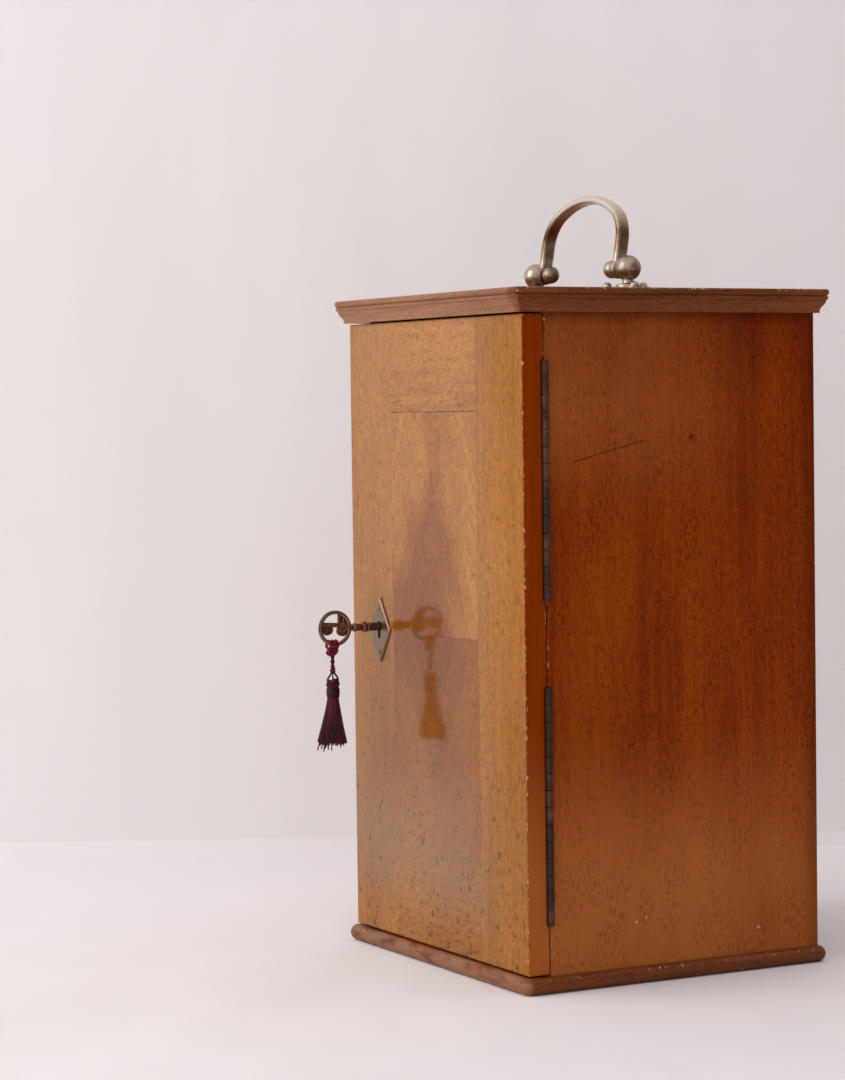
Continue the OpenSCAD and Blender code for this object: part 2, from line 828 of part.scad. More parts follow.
// Tube of eight sides along a list of points
module swept_tube(points, d) {
    sides = 8;
    n = len(points);
    rings = [for (i = [0:n - 1])
        let (ahead = points[min(i + 1, n - 1)], behind = points[max(i - 1, 0)],
             t = (ahead - behind) / norm(ahead - behind),
             u0 = cross(t, [0, 1, 0.001]), u = u0 / norm(u0), v = cross(t, u))
        [for (k = [0:sides - 1])
            points[i] + d / 2 * (cos(360 * k / sides) * u + sin(360 * k / sides) * v)]];
    polyhedron(
        points = [for (ring = rings) for (p = ring) p],
        faces = concat(
            [[for (k = [0:sides - 1]) k]],
            [for (i = [0:n - 2], k = [0:sides - 1])
                let (a = i * sides + k, b = i * sides + (k + 1) % sides) [a, a + sides, b]],
            [for (i = [0:n - 2], k = [0:sides - 1])
                let (a = i * sides + k, b = i * sides + (k + 1) % sides) [b, a + sides, b + sides]],
            [[for (k = [sides - 1:-1:0]) (n - 1) * sides + k]]));
}

module tassel_cord() {
    color(THREAD) translate(hang) swept_tube(cord_route, cord_d);
}

module tassel_head() {
    r = tassel_head_d / 2;
    h = tassel_head_h;
    color(THREAD) translate(hang - [0, 0, tassel_drop + h]) rotate_extrude()
        polygon(concat([[0, 0], [r * 0.86, 0], [r * 0.86, h * 0.18]],
                       arc(0, h * 0.5, r, -20, 62, 10), [[r * 0.3, h], [0, h]]));
}

module tassel_skirt() {
    r = tassel_head_d / 2;
    color(THREAD) translate(hang - [0, 0, tassel_drop + tassel_head_h + skirt_l]) rotate_extrude()
        polygon(concat(
            [[0, 0.8], [skirt_d / 2 - 1, 0], [skirt_d / 2, 1]],
            [for (i = [1:9]) [r * 0.86 + (skirt_d / 2 - r * 0.86) * pow(1 - i / 9, 1.4),
                              1 + (skirt_l - 1) * i / 9]],
            [[0, skirt_l]]));
}

// Handle

module handle_post(side) {
    ball_r = ball_d / 2;
    neck_r = post_neck_d / 2;
    neck_angle = -acos(neck_r / ball_r);
    flange_z = post_plate_t + post_flange_t;
    flange_round = 0.9;
    profile = concat(
        [[0, 0], [post_flange_d / 2, 0], [post_flange_d / 2, flange_z - flange_round]],
        arc(post_flange_d / 2 - flange_round, flange_z - flange_round, flange_round, 0, 90, 4),
        arc(neck_r + post_neck_curve, flange_z + post_neck_curve, post_neck_curve, 270, 180, 6),
        arc(0, pivot_h, ball_r, neck_angle, 90, 24));
    color(NICKEL) difference() {
        translate([side * post_x, handle_y, roof_z]) {
            rotate_extrude() polygon(profile);
            for (a = lobe_angles(side)) rotate([0, 0, a]) {
                translate([0, -lobe_arm_w / 2, 0]) cube([lobe_r, lobe_arm_w, post_plate_t]);
                translate([lobe_r, 0, 0]) cylinder(d = lobe_d, h = post_plate_t);
            }
        }
        rod_x(pivot_pin_d / 2, handle_y, pivot_z, min(0, side * post_x), max(0, side * post_x));
        handle_screws_at() handle_screw_shank();
    }
}

function lobe_angles(side) = side > 0 ? [225, 345, 105] : [315, 195, 75];

module handle_post_left() {
    handle_post(-1);
}

module handle_post_right() {
    handle_post(1);
}

module handle_pin(side) {
    knob_r = knob_d / 2;
    face = bail_r - eye_t / 2 - eye_gap - knob_x;
    start = acos(face / knob_r);
    pin_r = pivot_pin_d / 2;
    color(NICKEL) mirror([side < 0 ? 1 : 0, 0, 0]) translate([knob_x, handle_y, pivot_z]) rotate([0, 90, 0])
        rotate_extrude() polygon(concat(
            [for (i = [0:20]) let (a = 180 - (180 - start) * i / 20) [knob_r * sin(a), knob_r * cos(a)]],
            [[pin_r, face], [pin_r, post_x - knob_x], [0, post_x - knob_x]]));
}

module handle_pin_left() {
    handle_pin(-1);
}

module handle_pin_right() {
    handle_pin(1);
}

module handle_screws_at() {
    for (side = [-1, 1], a = lobe_angles(side))
        translate([side * post_x, handle_y, roof_z]) rotate([0, 0, a])
            translate([lobe_r, 0, post_plate_t]) children();
}

module handle_screw_shank() {
    translate([0, 0, -handle_screw_l]) cylinder(d = handle_screw_shank_d, h = handle_screw_l + touch);
}

module handle_screws() {
    head_r = handle_screw_d / 2;
    color(NICKEL) handle_screws_at() {
        handle_screw_shank();
        difference() {
            rotate_extrude() polygon(concat(
                [[0, 0], [head_r, 0]], arc(0, handle_screw_rim, head_r, 0, 90, 8)));
            translate([-head_r, -handle_screw_slot / 2, head_r - handle_screw_rim])
                cube([2 * head_r, handle_screw_slot, 2 * cut]);
        }
    }
}

module handle_bail() {
    color(NICKEL) translate([0, handle_y, pivot_z]) rotate([-bail_lean, 0, 0]) difference() {
        union() {
            rotate([90, 0, 0]) rotate_extrude(angle = 180)
                translate([bail_r, 0]) rounded_rect(bar_t, bar_w, bar_corner_r);
            for (side = [-1, 1])
                rod_x(eye_d / 2, 0, 0, side * bail_r - eye_t / 2, side * bail_r + eye_t / 2);
        }
        rod_x(pivot_pin_d / 2 + pin_clear, 0, 0, -bail_r - eye_t, bail_r + eye_t);
    }
}

// Fittings inside

// Rail with a lip over the edge of the instrument's foot, and a slot for the bar at its front
module foot_rail(side) {
    x0 = side * (foot_w / 2 + foot_wall);
    x1 = side * foot_w / 2;
    lip = side * (foot_w / 2 + foot_wall - foot_rail_w);
    color(WOOD) difference() {
        union() {
            block([min(x0, x1), foot_front_y, base_t],
                  [max(x0, x1), inner_back_y, base_t + foot_rail_h]);
            block([min(x0, lip), foot_front_y, base_t + foot_slot_h],
                  [max(x0, lip), inner_back_y, base_t + foot_rail_h]);
        }
        bar_slot(bar_clear);
    }
}

module bar_slot(clear) {
    reach = bar_reach + clear;
    block([-reach, bar_slot_y - clear, base_t - cut],
          [reach, bar_slot_y + bar_slot_t + clear, base_t + foot_rail_h + cut]);
}

module foot_rail_left() {
    foot_rail(-1);
}

module foot_rail_right() {
    foot_rail(1);
}

module foot_stop() {
    stop_w = foot_w - 2 * foot_lip_w - 2 * foot_stop_gap;
    color(WOOD) block([-stop_w / 2, inner_back_y - foot_stop_t, base_t],
                      [stop_w / 2, inner_back_y, base_t + foot_slot_h]);
}

// Bar that drops into the slots of both rails, in front of the foot
module foot_bar() {
    top = base_t + foot_rail_h;
    color(WOOD) difference() {
        block([-bar_reach, bar_slot_y, base_t + bar_rest_gap], [bar_reach, bar_slot_y + bar_slot_t, top]);
        rod_y(bar_grip_r, 0, top + bar_grip_r - bar_grip_depth,
              bar_slot_y - cut, bar_slot_y + bar_slot_t + cut);
    }
}

module can_rack() {
    color(WOOD) difference() {
        block([-inner_x, rack_y, rack_z], [-inner_x + rack_w, rack_y + rack_l, rack_z + rack_t]);
        for (i = [0, 1])
            translate([-inner_x + rack_w / 2, rack_y + rack_l * (i + 0.5) / 2,
                       rack_z + rack_t - pocket_depth])
                cylinder(d = pocket_d, h = pocket_depth + cut);
    }
}

base_board();
side_panel_left();
side_panel_right();
back_panel();
top_board();
door_stile_hinge();
door_stile_lock();
door_rail_top();
door_rail_bottom();
door_panel_upper();
door_panel_lower();
hinge_leaf_case_upper();
hinge_leaf_case_lower();
hinge_leaf_door_upper();
hinge_leaf_door_lower();
hinge_pin_upper();
hinge_pin_lower();
hinge_screws_case();
hinge_screws_door();
lock_plate();
lock_cap();
lock_spring();
lock_screws();
lock_bolt();
strike_plate();
strike_screws();
escutcheon();
escutcheon_pins();
key();
tassel_cord();
tassel_head();
tassel_skirt();
handle_post_left();
handle_post_right();
handle_pin_left();
handle_pin_right();
handle_screws();
handle_bail();
foot_rail_left();
foot_rail_right();
foot_stop();
foot_bar();
can_rack();
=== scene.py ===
"""Looks of an upright mahogany case for a bench microscope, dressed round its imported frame.

The case stands on a pale floor in front of a pale wall, at rest. Lengths are in millimetres unless
a name or a property says otherwise, and meshes are scaled to metres at the end. Shaders and the
stage work in metres. +Z is up, -Y is out of the door and +X is the hinged side.
"""

import json
import math
import random

import bmesh
import bpy
import numpy as np
from bpy.props import FloatProperty, FloatVectorProperty, IntProperty, PointerProperty
from mathutils import Matrix, Vector, noise


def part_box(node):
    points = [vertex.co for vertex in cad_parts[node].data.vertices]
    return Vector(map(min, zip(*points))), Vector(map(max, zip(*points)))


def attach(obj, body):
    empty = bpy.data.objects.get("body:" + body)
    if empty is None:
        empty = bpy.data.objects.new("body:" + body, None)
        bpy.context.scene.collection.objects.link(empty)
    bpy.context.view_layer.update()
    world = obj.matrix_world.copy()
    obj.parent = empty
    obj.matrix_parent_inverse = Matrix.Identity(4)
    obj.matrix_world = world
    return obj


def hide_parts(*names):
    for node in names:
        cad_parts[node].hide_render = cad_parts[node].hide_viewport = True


bl_info = {
    "name": "Microscope case",
    "version": (1, 0, 0),
    "blender": (4, 5, 0),
    "location": "3D View > Sidebar > Case",
    "description": "Dresses a mahogany microscope case with its boards, fittings and finishes",
    "category": "Object",
}

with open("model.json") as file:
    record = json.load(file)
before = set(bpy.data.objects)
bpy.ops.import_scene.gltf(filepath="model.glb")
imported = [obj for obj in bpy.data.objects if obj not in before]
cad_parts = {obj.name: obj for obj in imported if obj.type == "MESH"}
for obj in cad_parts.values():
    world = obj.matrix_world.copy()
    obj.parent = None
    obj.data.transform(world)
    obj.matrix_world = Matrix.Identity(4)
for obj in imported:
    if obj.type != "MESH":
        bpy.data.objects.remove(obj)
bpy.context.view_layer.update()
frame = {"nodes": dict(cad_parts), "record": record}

RECORD = frame["record"]
BODY_OF = {node: body for body, nodes in RECORD["behaviour"]["bodies"].items() for node in nodes}
SLOT_OF = {part["node"]: part["material_slot"] for part in RECORD["subparts"]}


def box_mm(*nodes):
    """Lowest and highest corner of some CAD nodes together, in millimetres"""
    boxes = [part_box(node) for node in nodes]
    low = Vector([min(box[0][i] for box in boxes) * 1000 for i in range(3)])
    high = Vector([max(box[1][i] for box in boxes) * 1000 for i in range(3)])
    return low, high


DOOR_WOOD = ["door_stile_hinge", "door_stile_lock", "door_rail_top", "door_rail_bottom",
             "door_panel_upper", "door_panel_lower"]
DOOR_BOX = box_mm(*DOOR_WOOD)
DOOR_LOW, DOOR_HIGH = DOOR_BOX
FRONT_Y = DOOR_LOW.y
PANEL_HALF = box_mm("door_stile_hinge")[0].x
PANEL_LOW_Z = box_mm("door_rail_bottom")[1].z
PANEL_HIGH_Z = box_mm("door_rail_top")[0].z
PANEL_JOINT_Z = (PANEL_LOW_Z + PANEL_HIGH_Z) / 2
BASE_LOW, BASE_HIGH = box_mm("base_board")
BASE_HALF = (BASE_HIGH - BASE_LOW) / 2
SIDE_X = box_mm("side_panel_right")[1].x
MITRE_IN = 1.5
ROOF_Z = box_mm("top_board")[1].z

# Axis of the key, place where the tassel hangs, middle of the handle's right ball, and how far the
# lobes stand from their post
KEY_X, KEY_Z = -64.5, 186.3
HANG = Vector((KEY_X, -124.8, 177.278))
BALL = Vector((50.2, 4.0, ROOF_Z + 13.1))
LOBE_OUT = 12

# Camera and room: places in metres, angles given in degrees, and the lens in millimetres
CAMERA_PLACE = (1.4493, -0.8747, 0.3098)
CAMERA_AZIMUTH, CAMERA_DROP, CAMERA_ROLL = (math.radians(angle) for angle in (61.88, 2.50, -0.75))
CAMERA_LENS = 99.12
WINDOW_WAY = Vector((-0.16, -0.84, 0.46)).normalized()
WINDOW_AIM = Vector((0, 0, 0.2))
WINDOW_DISTANCE = 1.7
WALL_DISTANCE = 0.385


def srgb(red, green, blue):
    """Linear colour of an sRGB colour that is given from 0 to 255"""
    return tuple(c / 3294.6 if c <= 10 else ((c / 255 + 0.055) / 1.055) ** 2.4 for c in (red, green, blue))


def colour_prop(name, description, red, green, blue):
    """Colour property with an sRGB default"""
    return FloatVectorProperty(name=name, description=description, subtype="COLOR", size=3,
                               min=0, max=1, default=srgb(red, green, blue))


def length_prop(name, description, mm, low, high):
    """Length property with a default in millimetres"""
    return FloatProperty(name=name, description=description, default=mm / 1000, min=low / 1000,
                         max=high / 1000, subtype="DISTANCE", unit="LENGTH", precision=5)


# Sizes and colours that a user would change


class CaseSizes(bpy.types.PropertyGroup):
    arris: length_prop("Arris", "Radius of the worn outer edges of the boards", 0.9, 0.2, 2)
    joint_line: length_prop("Joint line", "Chamfer where two boards of the door meet", 0.1, 0.02, 0.5)
    edge_wear: length_prop("Edge wear", "How far the moulded edges are worn back", 0.25, 0, 1)
    metal_edge: length_prop("Metal edge", "Radius of the edges of plates and leaves", 0.15, 0.05, 0.4)
    cord_d: length_prop("Cord", "Thickness of the tassel's cord", 1.0, 0.5, 1.5)
    loop_d: length_prop("Loops", "Thickness of the tassel's loops round the bow", 1.9, 0.8, 2.4)
    thread_d: length_prop("Thread", "Thickness of one thread of the skirt", 0.75, 0.3, 1.2)
    threads: IntProperty(name="Threads", description="Threads in the skirt of the tassel",
                         default=190, min=40, max=400)


class CaseColours(bpy.types.PropertyGroup):
    side_light: colour_prop("Side, light grain", "Light grain of the side panels", 168, 76, 1)
    side_dark: colour_prop("Side, dark grain", "Dark grain of the side panels", 124, 40, 0)
    door_light: colour_prop("Door, light grain", "Light grain of the faded door", 188, 128, 52)
    door_dark: colour_prop("Door, dark grain", "Dark grain of the faded door", 154, 96, 32)
    top_light: colour_prop("Cornice, light grain", "Light grain of the cornice", 170, 116, 70)
    top_dark: colour_prop("Cornice, dark grain", "Dark grain of the cornice", 126, 70, 36)
    base_light: colour_prop("Base, light grain", "Light grain of the base board", 156, 86, 42)
    base_dark: colour_prop("Base, dark grain", "Dark grain of the base board", 104, 50, 22)
    pore: colour_prop("Pores", "Filler and dirt in the pores", 44, 18, 6)
    bare: colour_prop("Bare wood", "Wood where the finish is rubbed through", 205, 150, 92)
    inside: colour_prop("Inside", "Light grain of the fittings inside", 134, 72, 34)
    nickel: colour_prop("Nickel", "Clean nickel silver of the handle", 182, 167, 148)
    nickel_tarnish: colour_prop("Nickel tarnish", "Brown tarnish on the handle", 92, 66, 44)
    plate: colour_prop("Escutcheon", "Worn grey plate of the escutcheon", 134, 114, 98)
    bronze: colour_prop("Bronze", "Rubbed bronze of the key", 140, 112, 90)
    bronze_tarnish: colour_prop("Bronze tarnish", "Dark tarnish of the key", 54, 33, 20)
    hinge: colour_prop("Hinge", "Brown lacquer and tarnish on the hinges", 106, 66, 42)
    brass: colour_prop("Brass", "Brass of the lock", 188, 150, 84)
    steel: colour_prop("Steel", "Steel of the bolt, the spring and the pins", 140, 136, 130)
    thread: colour_prop("Thread", "Dark burgundy thread of the tassel", 92, 7, 31)
    thread_light: colour_prop("Thread, light", "Crimson thread of the tassel's loops", 142, 18, 52)


class CaseStage(bpy.types.PropertyGroup):
    floor: colour_prop("Floor", "Pale floor cloth", 242, 239, 241)
    wall: colour_prop("Wall", "Pale wall behind the case", 243, 241, 242)
    window: FloatProperty(name="Window", description="Power of the soft light from the window",
                          default=10.5, min=0, max=200, unit="POWER")
    room: FloatProperty(name="Room", description="Brightness of the room around the case",
                        default=1.05, min=0, max=3, subtype="FACTOR")


# Shader nodes


def calculation(operation, swapped=False):
    """Method that does one calculation on a shader value"""
    def method(self, other=0.0):
        first, second = (other, self) if swapped else (self, other)
        return self.net.math(operation, first, second)
    return method


class Value:
    """Output of a shader node, to calculate with as a number or to paint on as a colour"""

    __add__ = calculation("ADD")
    __sub__ = calculation("SUBTRACT")
    __rsub__ = calculation("SUBTRACT", swapped=True)
    __mul__ = calculation("MULTIPLY")
    __truediv__ = calculation("DIVIDE")
    __abs__ = calculation("ABSOLUTE")
    max = calculation("MAXIMUM")
    min = calculation("MINIMUM")
    above = calculation("GREATER_THAN")

    def __init__(self, net, socket):
        self.net = net
        self.socket = socket

    def clamped(self):
        """The number, kept from 0 to 1"""
        return self.net.math("ADD", self, 0.0, clamp=True)

    def fade(self, low, high, to_low=0.0, to_high=1.0):
        """Smooth step of the number from low to high"""
        inputs = {"Value": self, "From Min": low, "From Max": high, "To Min": to_low, "To Max": to_high}
        return self.net.value("MapRange", inputs, "Result", interpolation_type="SMOOTHSTEP")

    def paint(self, mask, colour):
        """The colour with another over it where the mask is high"""
        return self.net.mix(mask, self, colour)

    def tint(self, mask, colour):
        """The colour multiplied by another where the mask is high"""
        return self.net.mix(mask, self, colour, "MULTIPLY")


class Net:
    """Adds nodes to a shader tree and links them. Values and plain numbers are passed alike."""

    def __init__(self, tree):
        self.tree = tree

    def feed(self, node, inputs):
        """Link or set inputs of a node, by name or number"""
        for key, value in dict(inputs).items():
            socket = node.inputs[key]
            if isinstance(value, Value):
                self.tree.links.new(value.socket, socket)
            elif socket.type == "RGBA" and len(value) == 3:
                socket.default_value = (*value, 1)
            else:
                socket.default_value = value
        return node

    def node(self, kind, inputs=(), **settings):
        """One node with its settings and its inputs"""
        node = self.tree.nodes.new("ShaderNode" + kind)
        for key, value in settings.items():
            setattr(node, key, value)
        return self.feed(node, inputs)

    def value(self, kind, inputs=(), output=0, **settings):
        """One output of a new node"""
        return Value(self, self.node(kind, inputs, **settings).outputs[output])

    def outputs(self, node):
        """All the named outputs of a node, in their order"""
        return [Value(self, socket) for socket in node.outputs if socket.name]

    def math(self, operation, a, b, clamp=False):
        """Result of one calculation on numbers"""
        return self.value("Math", {0: a, 1: b}, operation=operation, use_clamp=clamp)

    def vector(self, operation, a, b=(0, 0, 0)):
        """Result of one calculation on vectors"""
        output = "Value" if operation in {"LENGTH", "DOT_PRODUCT"} else "Vector"
        return self.value("VectorMath", {0: a, 1: b}, output, operation=operation)

    def split(self, vector):
        """The three numbers of a vector"""
        return self.outputs(self.node("SeparateXYZ", {0: vector}))

    def join(self, x, y, z):
        """Vector of three numbers"""
        return self.value("CombineXYZ", {0: x, 1: y, 2: z})

    def noise(self, vector, per_metre, detail=2.0, rough=0.5, output="Fac"):
        """Noise whose features number about per_metre, along each axis"""
        scaled = self.vector("MULTIPLY", vector, per_metre)
        inputs = {"Vector": scaled, "Scale": 1.0, "Detail": detail, "Roughness": rough}
        return self.value("TexNoise", inputs, output)

    def mix(self, mask, a, b, blend="MIX"):
        """Mix of two colours"""
        return self.value("Mix", {0: mask, 6: a, 7: b}, 2, data_type="RGBA", blend_type=blend,
                          clamp_factor=True)

    def group(self, name, *values):
        """Outputs of a shared effect whose inputs are given in their order"""
        node = self.tree.nodes.new("ShaderNodeGroup")
        node.node_tree = EFFECTS[name]
        return self.outputs(self.feed(node, enumerate(values)))


SOCKETS = {"v": "NodeSocketVector", "c": "NodeSocketColor", "f": "NodeSocketFloat"}
BUILDERS = {}
EFFECTS = {}


def effect(name, inputs, outputs):
    """Make a node group of a function, which takes a net and the inputs and returns the outputs.
    A letter before each socket's name gives its kind: v vector, c colour, f number."""
    def keep(fill):
        def build():
            tree = bpy.data.node_groups.new(name, "ShaderNodeTree")
            for side, labels in (("INPUT", inputs), ("OUTPUT", outputs)):
                for label in labels.split(", "):
                    tree.interface.new_socket(name=label[2:], in_out=side, socket_type=SOCKETS[label[0]])
            net = Net(tree)
            results = fill(net, *net.outputs(tree.nodes.new("NodeGroupInput")))
            net.feed(tree.nodes.new("NodeGroupOutput"), enumerate(results))
            return tree
        BUILDERS[fill.__name__] = build
        return fill
    return keep


@effect("Mahogany grain", "v Vector, c Light, c Dark, c Pore, f Bands, f Pores", "c Color, f Height, f Tone")
def grain(net, point, light, dark, pore, bands, pores):
    """Mahogany: slow bands, fine streaks along the grain, and dark pores. The grain runs along Z."""
    sway = net.noise(point, (14, 14, 5), 1, output="Color")
    drift = net.vector("MULTIPLY", net.vector("SUBTRACT", sway, (0.5, 0.5, 0.5)), (0.016, 0.016, 0))
    point = net.vector("ADD", point, drift)
    slow = (net.noise(point, (34, 34, 2.2), 2) - 0.5) * bands + 0.5
    streaks = net.noise(point, (300, 300, 10), 4, 0.6)
    fibres = net.noise(point, (1500, 1500, 60), 2)
    tone = (streaks * 0.45 + fibres * 0.25 - 0.35 + slow).fade(0.22, 0.78)
    flecks = net.noise(point, (760, 760, 330), 3, 0.65).fade(0.49, 0.70)
    dashes = net.noise(point, (1500, 1500, 190), 1).fade(0.57, 0.72)
    sunk = ((flecks * 0.62).max(dashes * 0.7) * pores).clamped()
    return light.paint(tone, dark).paint(sunk, pore), sunk * -0.8 + fibres * 0.35, tone


@effect("Arris wear", "v Vector, v Low, v High, f Width", "f Rubbed, f Chips")
def arris(net, point, low, high, width):
    """How near a point is to the edges of a box, as rubbed edges and as chips"""
    near = net.split(net.vector("SUBTRACT", point, low))
    far = net.split(net.vector("SUBTRACT", high, point))
    x, y, z = [abs(a).min(abs(b)) for a, b in zip(near, far)]
    second = x.min(y).max(x.max(y).min(z))
    uneven = net.noise(point, (160, 160, 160), 3)
    rubbed = (1.0 - second / (width * uneven.fade(0.3, 0.75, 0.15, 1.6))).clamped()
    chips = net.noise(point, (700, 700, 340), 2).fade(0.54, 0.62)
    return rubbed, chips * rubbed.fade(0.2, 0.6)


@effect("Mark", "v Vector, v From, v To, f Width", "f Mask")
def mark(net, point, start, end, width):
    """A scratch between two points, or a spot where both are close"""
    run = net.vector("SUBTRACT", end, start)
    seen = net.vector("SUBTRACT", point, start)
    length2 = net.vector("DOT_PRODUCT", run, run).max(1e-9)
    share = (net.vector("DOT_PRODUCT", seen, run) / length2).clamped()
    foot = net.vector("MULTIPLY", run, net.join(share, share, share))
    away = net.vector("LENGTH", net.vector("SUBTRACT", seen, foot))
    uneven = net.noise(point, (500, 500, 500), 2)
    return [(1.0 - away / (width * uneven.fade(0.3, 0.7, 0.4, 1.5))).clamped()]


@effect("Bruises", "v Vector, f Amount", "f Dents, f Scratches, f Clouds")
def bruises(net, point, amount):
    """Small dents, fine scratches and cloudy patches from long use"""
    sway = net.noise(point, (300, 300, 300), 2, output="Color")
    warped = net.vector("ADD", point, net.vector("MULTIPLY", sway, (0.003, 0.003, 0.003)))
    cells = net.node("TexVoronoi", {"Vector": warped, "Scale": 70.0})
    chosen = net.split(Value(net, cells.outputs["Color"]))[0].above(0.72)
    dents = Value(net, cells.outputs["Distance"]).fade(0.12, 0.03) * chosen
    scratches = net.noise(point, (700, 700, 24), 2).fade(0.68, 0.72)
    clouds = net.noise(point, (9, 9, 7), 3).fade(0.35, 0.7)
    return [found * amount for found in (dents, scratches, clouds)]


@effect("Patina", "v Vector, c Clean, c Tarnish, f Amount", "c Color, f Roughness, f Height")
def patina(net, point, clean, tarnish, amount):
    """Metal that is rubbed in places and tarnished in others, with a fine uneven surface"""
    slow = net.noise(point, (70, 70, 70), 3)
    fine = net.noise(point, (900, 900, 900), 3)
    worn = fine * 0.35 + (slow - 0.17) + (amount - 0.5)
    mask = worn.fade(0.3, 0.72)
    return clean.paint(mask, tarnish), mask * 0.22 + 0.24, fine * 0.7 + slow * 0.3


# Kinds of material


def surface(name, coat=0.0, gloss=0.35, specular=0.5, bump=0.0002, sheen=0.0, coat_rough=0.1):
    """Start a material: it, a net to fill it, the point on the object, its shader and its bump.
    Constant values stand on the shader's own sockets."""
    material = bpy.data.materials.new(name)
    material.use_nodes = True
    net = Net(material.node_tree)
    relief = net.node("Bump", {"Distance": bump})
    shader = net.feed(material.node_tree.nodes["Principled BSDF"], {
        "Coat Weight": coat, "Coat Roughness": coat_rough, "Roughness": gloss, "Sheen Weight": sheen,
        "Specular IOR Level": specular, "Normal": Value(net, relief.outputs[0])})
    return material, net, net.value("TexCoord", output="Object"), shader, relief


def along(axis):
    """Grain along an axis of the case"""
    def turned(net, point, shift):
        x, y, z = net.split(point)
        return net.vector("ADD", net.join(*{"X": (z, y, x), "Y": (x, z, y), "Z": (x, y, z)}[axis]), shift)
    return turned


def mitred(net, point, shift):
    """Grain that runs along the board, and along the mouldings mitred to its two sides"""
    x, y, z = net.split(point)
    mitre = (abs(x) - abs(y)).above((BASE_HALF.x - BASE_HALF.y) / 1000)
    lip = abs(x).above((SIDE_X - MITRE_IN) / 1000)
    run = net.value("Mix", {0: mitre * lip, 4: net.join(y, z, x), 5: net.join(x, z, y)}, 1,
                    data_type="VECTOR")
    return net.vector("ADD", run, shift)


def metres(*point):
    """A point or size in millimetres, for a shader"""
    return tuple(value / 1000 for value in point)


def wood(name, light, dark, pore, box, run=along("Z"), shift=(0, 0, 0), bands=0.6, pores=0.7, coat=0.3,
         gloss=(0.26, 0.42), specular=0.4, bruised=0.5, rub=1.2, bare=(0.4, 0.25, 0.12), coat_rough=0.1,
         finish=None):
    """Shellacked mahogany whose grain follows run. Finish, if given, paints more on the colour before
    the edges are rubbed, and says where the coat is dull, or None."""
    material, net, point, shader, relief = surface(name, coat, specular=specular, bump=0.00025,
                                                  coat_rough=coat_rough)
    colour, height, tone = net.group("grain", run(net, point, shift), light, dark, pore, bands, pores)
    dents, scratches, clouds = net.group("bruises", point, bruised)
    rubbed, chips = net.group("arris", point, metres(*box[0]), metres(*box[1]), rub / 1000)
    colour = colour.tint(clouds * 0.3, dark).paint(dents * 0.8, pore)
    if finish:
        colour, dull = finish(net, point, colour)
        if dull:
            net.feed(shader, {"Coat Weight": (dull * -coat + coat).clamped()})
    net.feed(shader, {"Base Color": colour.paint(rubbed * 0.45, pore).paint(chips, bare),
                      "Roughness": scratches * 0.2 + (clouds + tone).fade(0, 1.6, *gloss)})
    net.feed(relief, {"Height": chips * -0.6 + (dents * -1.5 + height * 0.5)})
    return material


def metal(name, clean, tarnish, amount, metallic=1.0, gloss_shift=0.0, finish=None):
    """Metal with its patina. Finish, if given, paints more on the colour."""
    material, net, point, shader, relief = surface(name, bump=0.00012)
    colour, rough, height = net.group("patina", point, clean, tarnish, amount)
    net.feed(shader, {"Base Color": finish(net, point, colour) if finish else colour,
                      "Roughness": rough + gloss_shift, "Metallic": metallic})
    net.feed(relief, {"Height": height})
    return material


def thread(name, light, dark):
    """Twisted silky thread"""
    material, net, point, shader, relief = surface(name, gloss=0.5, specular=0.25, sheen=0.06)
    fine = net.noise(point, (1500, 1500, 420), 3)
    slow = net.noise(point, (260, 260, 60), 2)
    tone = (fine * 0.6 + slow * 0.4).fade(0.41, 0.58)
    net.feed(shader, {"Base Color": net.mix(tone, dark, light), "Sheen Roughness": 0.4,
                      "Roughness": fine.fade(0.3, 0.7, 0.38, 0.62)})
    net.feed(relief, {"Height": fine})
    return material


def stage_finish(name, colour, one_sided=False):
    """Matt cloth of the floor or the wall. A one-sided wall doesn't show from behind."""
    material, net, point, shader, relief = surface(name, gloss=0.9, specular=0.1, bump=0.004)
    soft = net.noise(point, (5, 5, 3), 3).fade(0.3, 0.7, 0, 0.05)
    net.feed(shader, {"Base Color": net.mix(soft, colour, srgb(190, 176, 176))})
    net.feed(relief, {"Height": net.noise(point, (9, 9, 3), 2)})
    if one_sided:
        back = net.value("NewGeometry", output="Backfacing")
        sides = {0: back, 1: Value(net, shader.outputs[0]), 2: net.value("BsdfTransparent")}
        net.feed(material.node_tree.nodes["Material Output"], {"Surface": net.value("MixShader", sides)})
    return material


# Finishes of this case


def marks(net, point, colour, rows, paint, at):
    """Scratches and spots on one face: two ends on it, a width in millimetres and a strength"""
    for *ends, width, strength in rows:
        start, end = metres(*at(*ends[:2])), metres(*at(*ends[2:]))
        mask, = net.group("mark", point, start, end, width / 1000)
        colour = colour.paint(mask * strength, paint)
    return colour


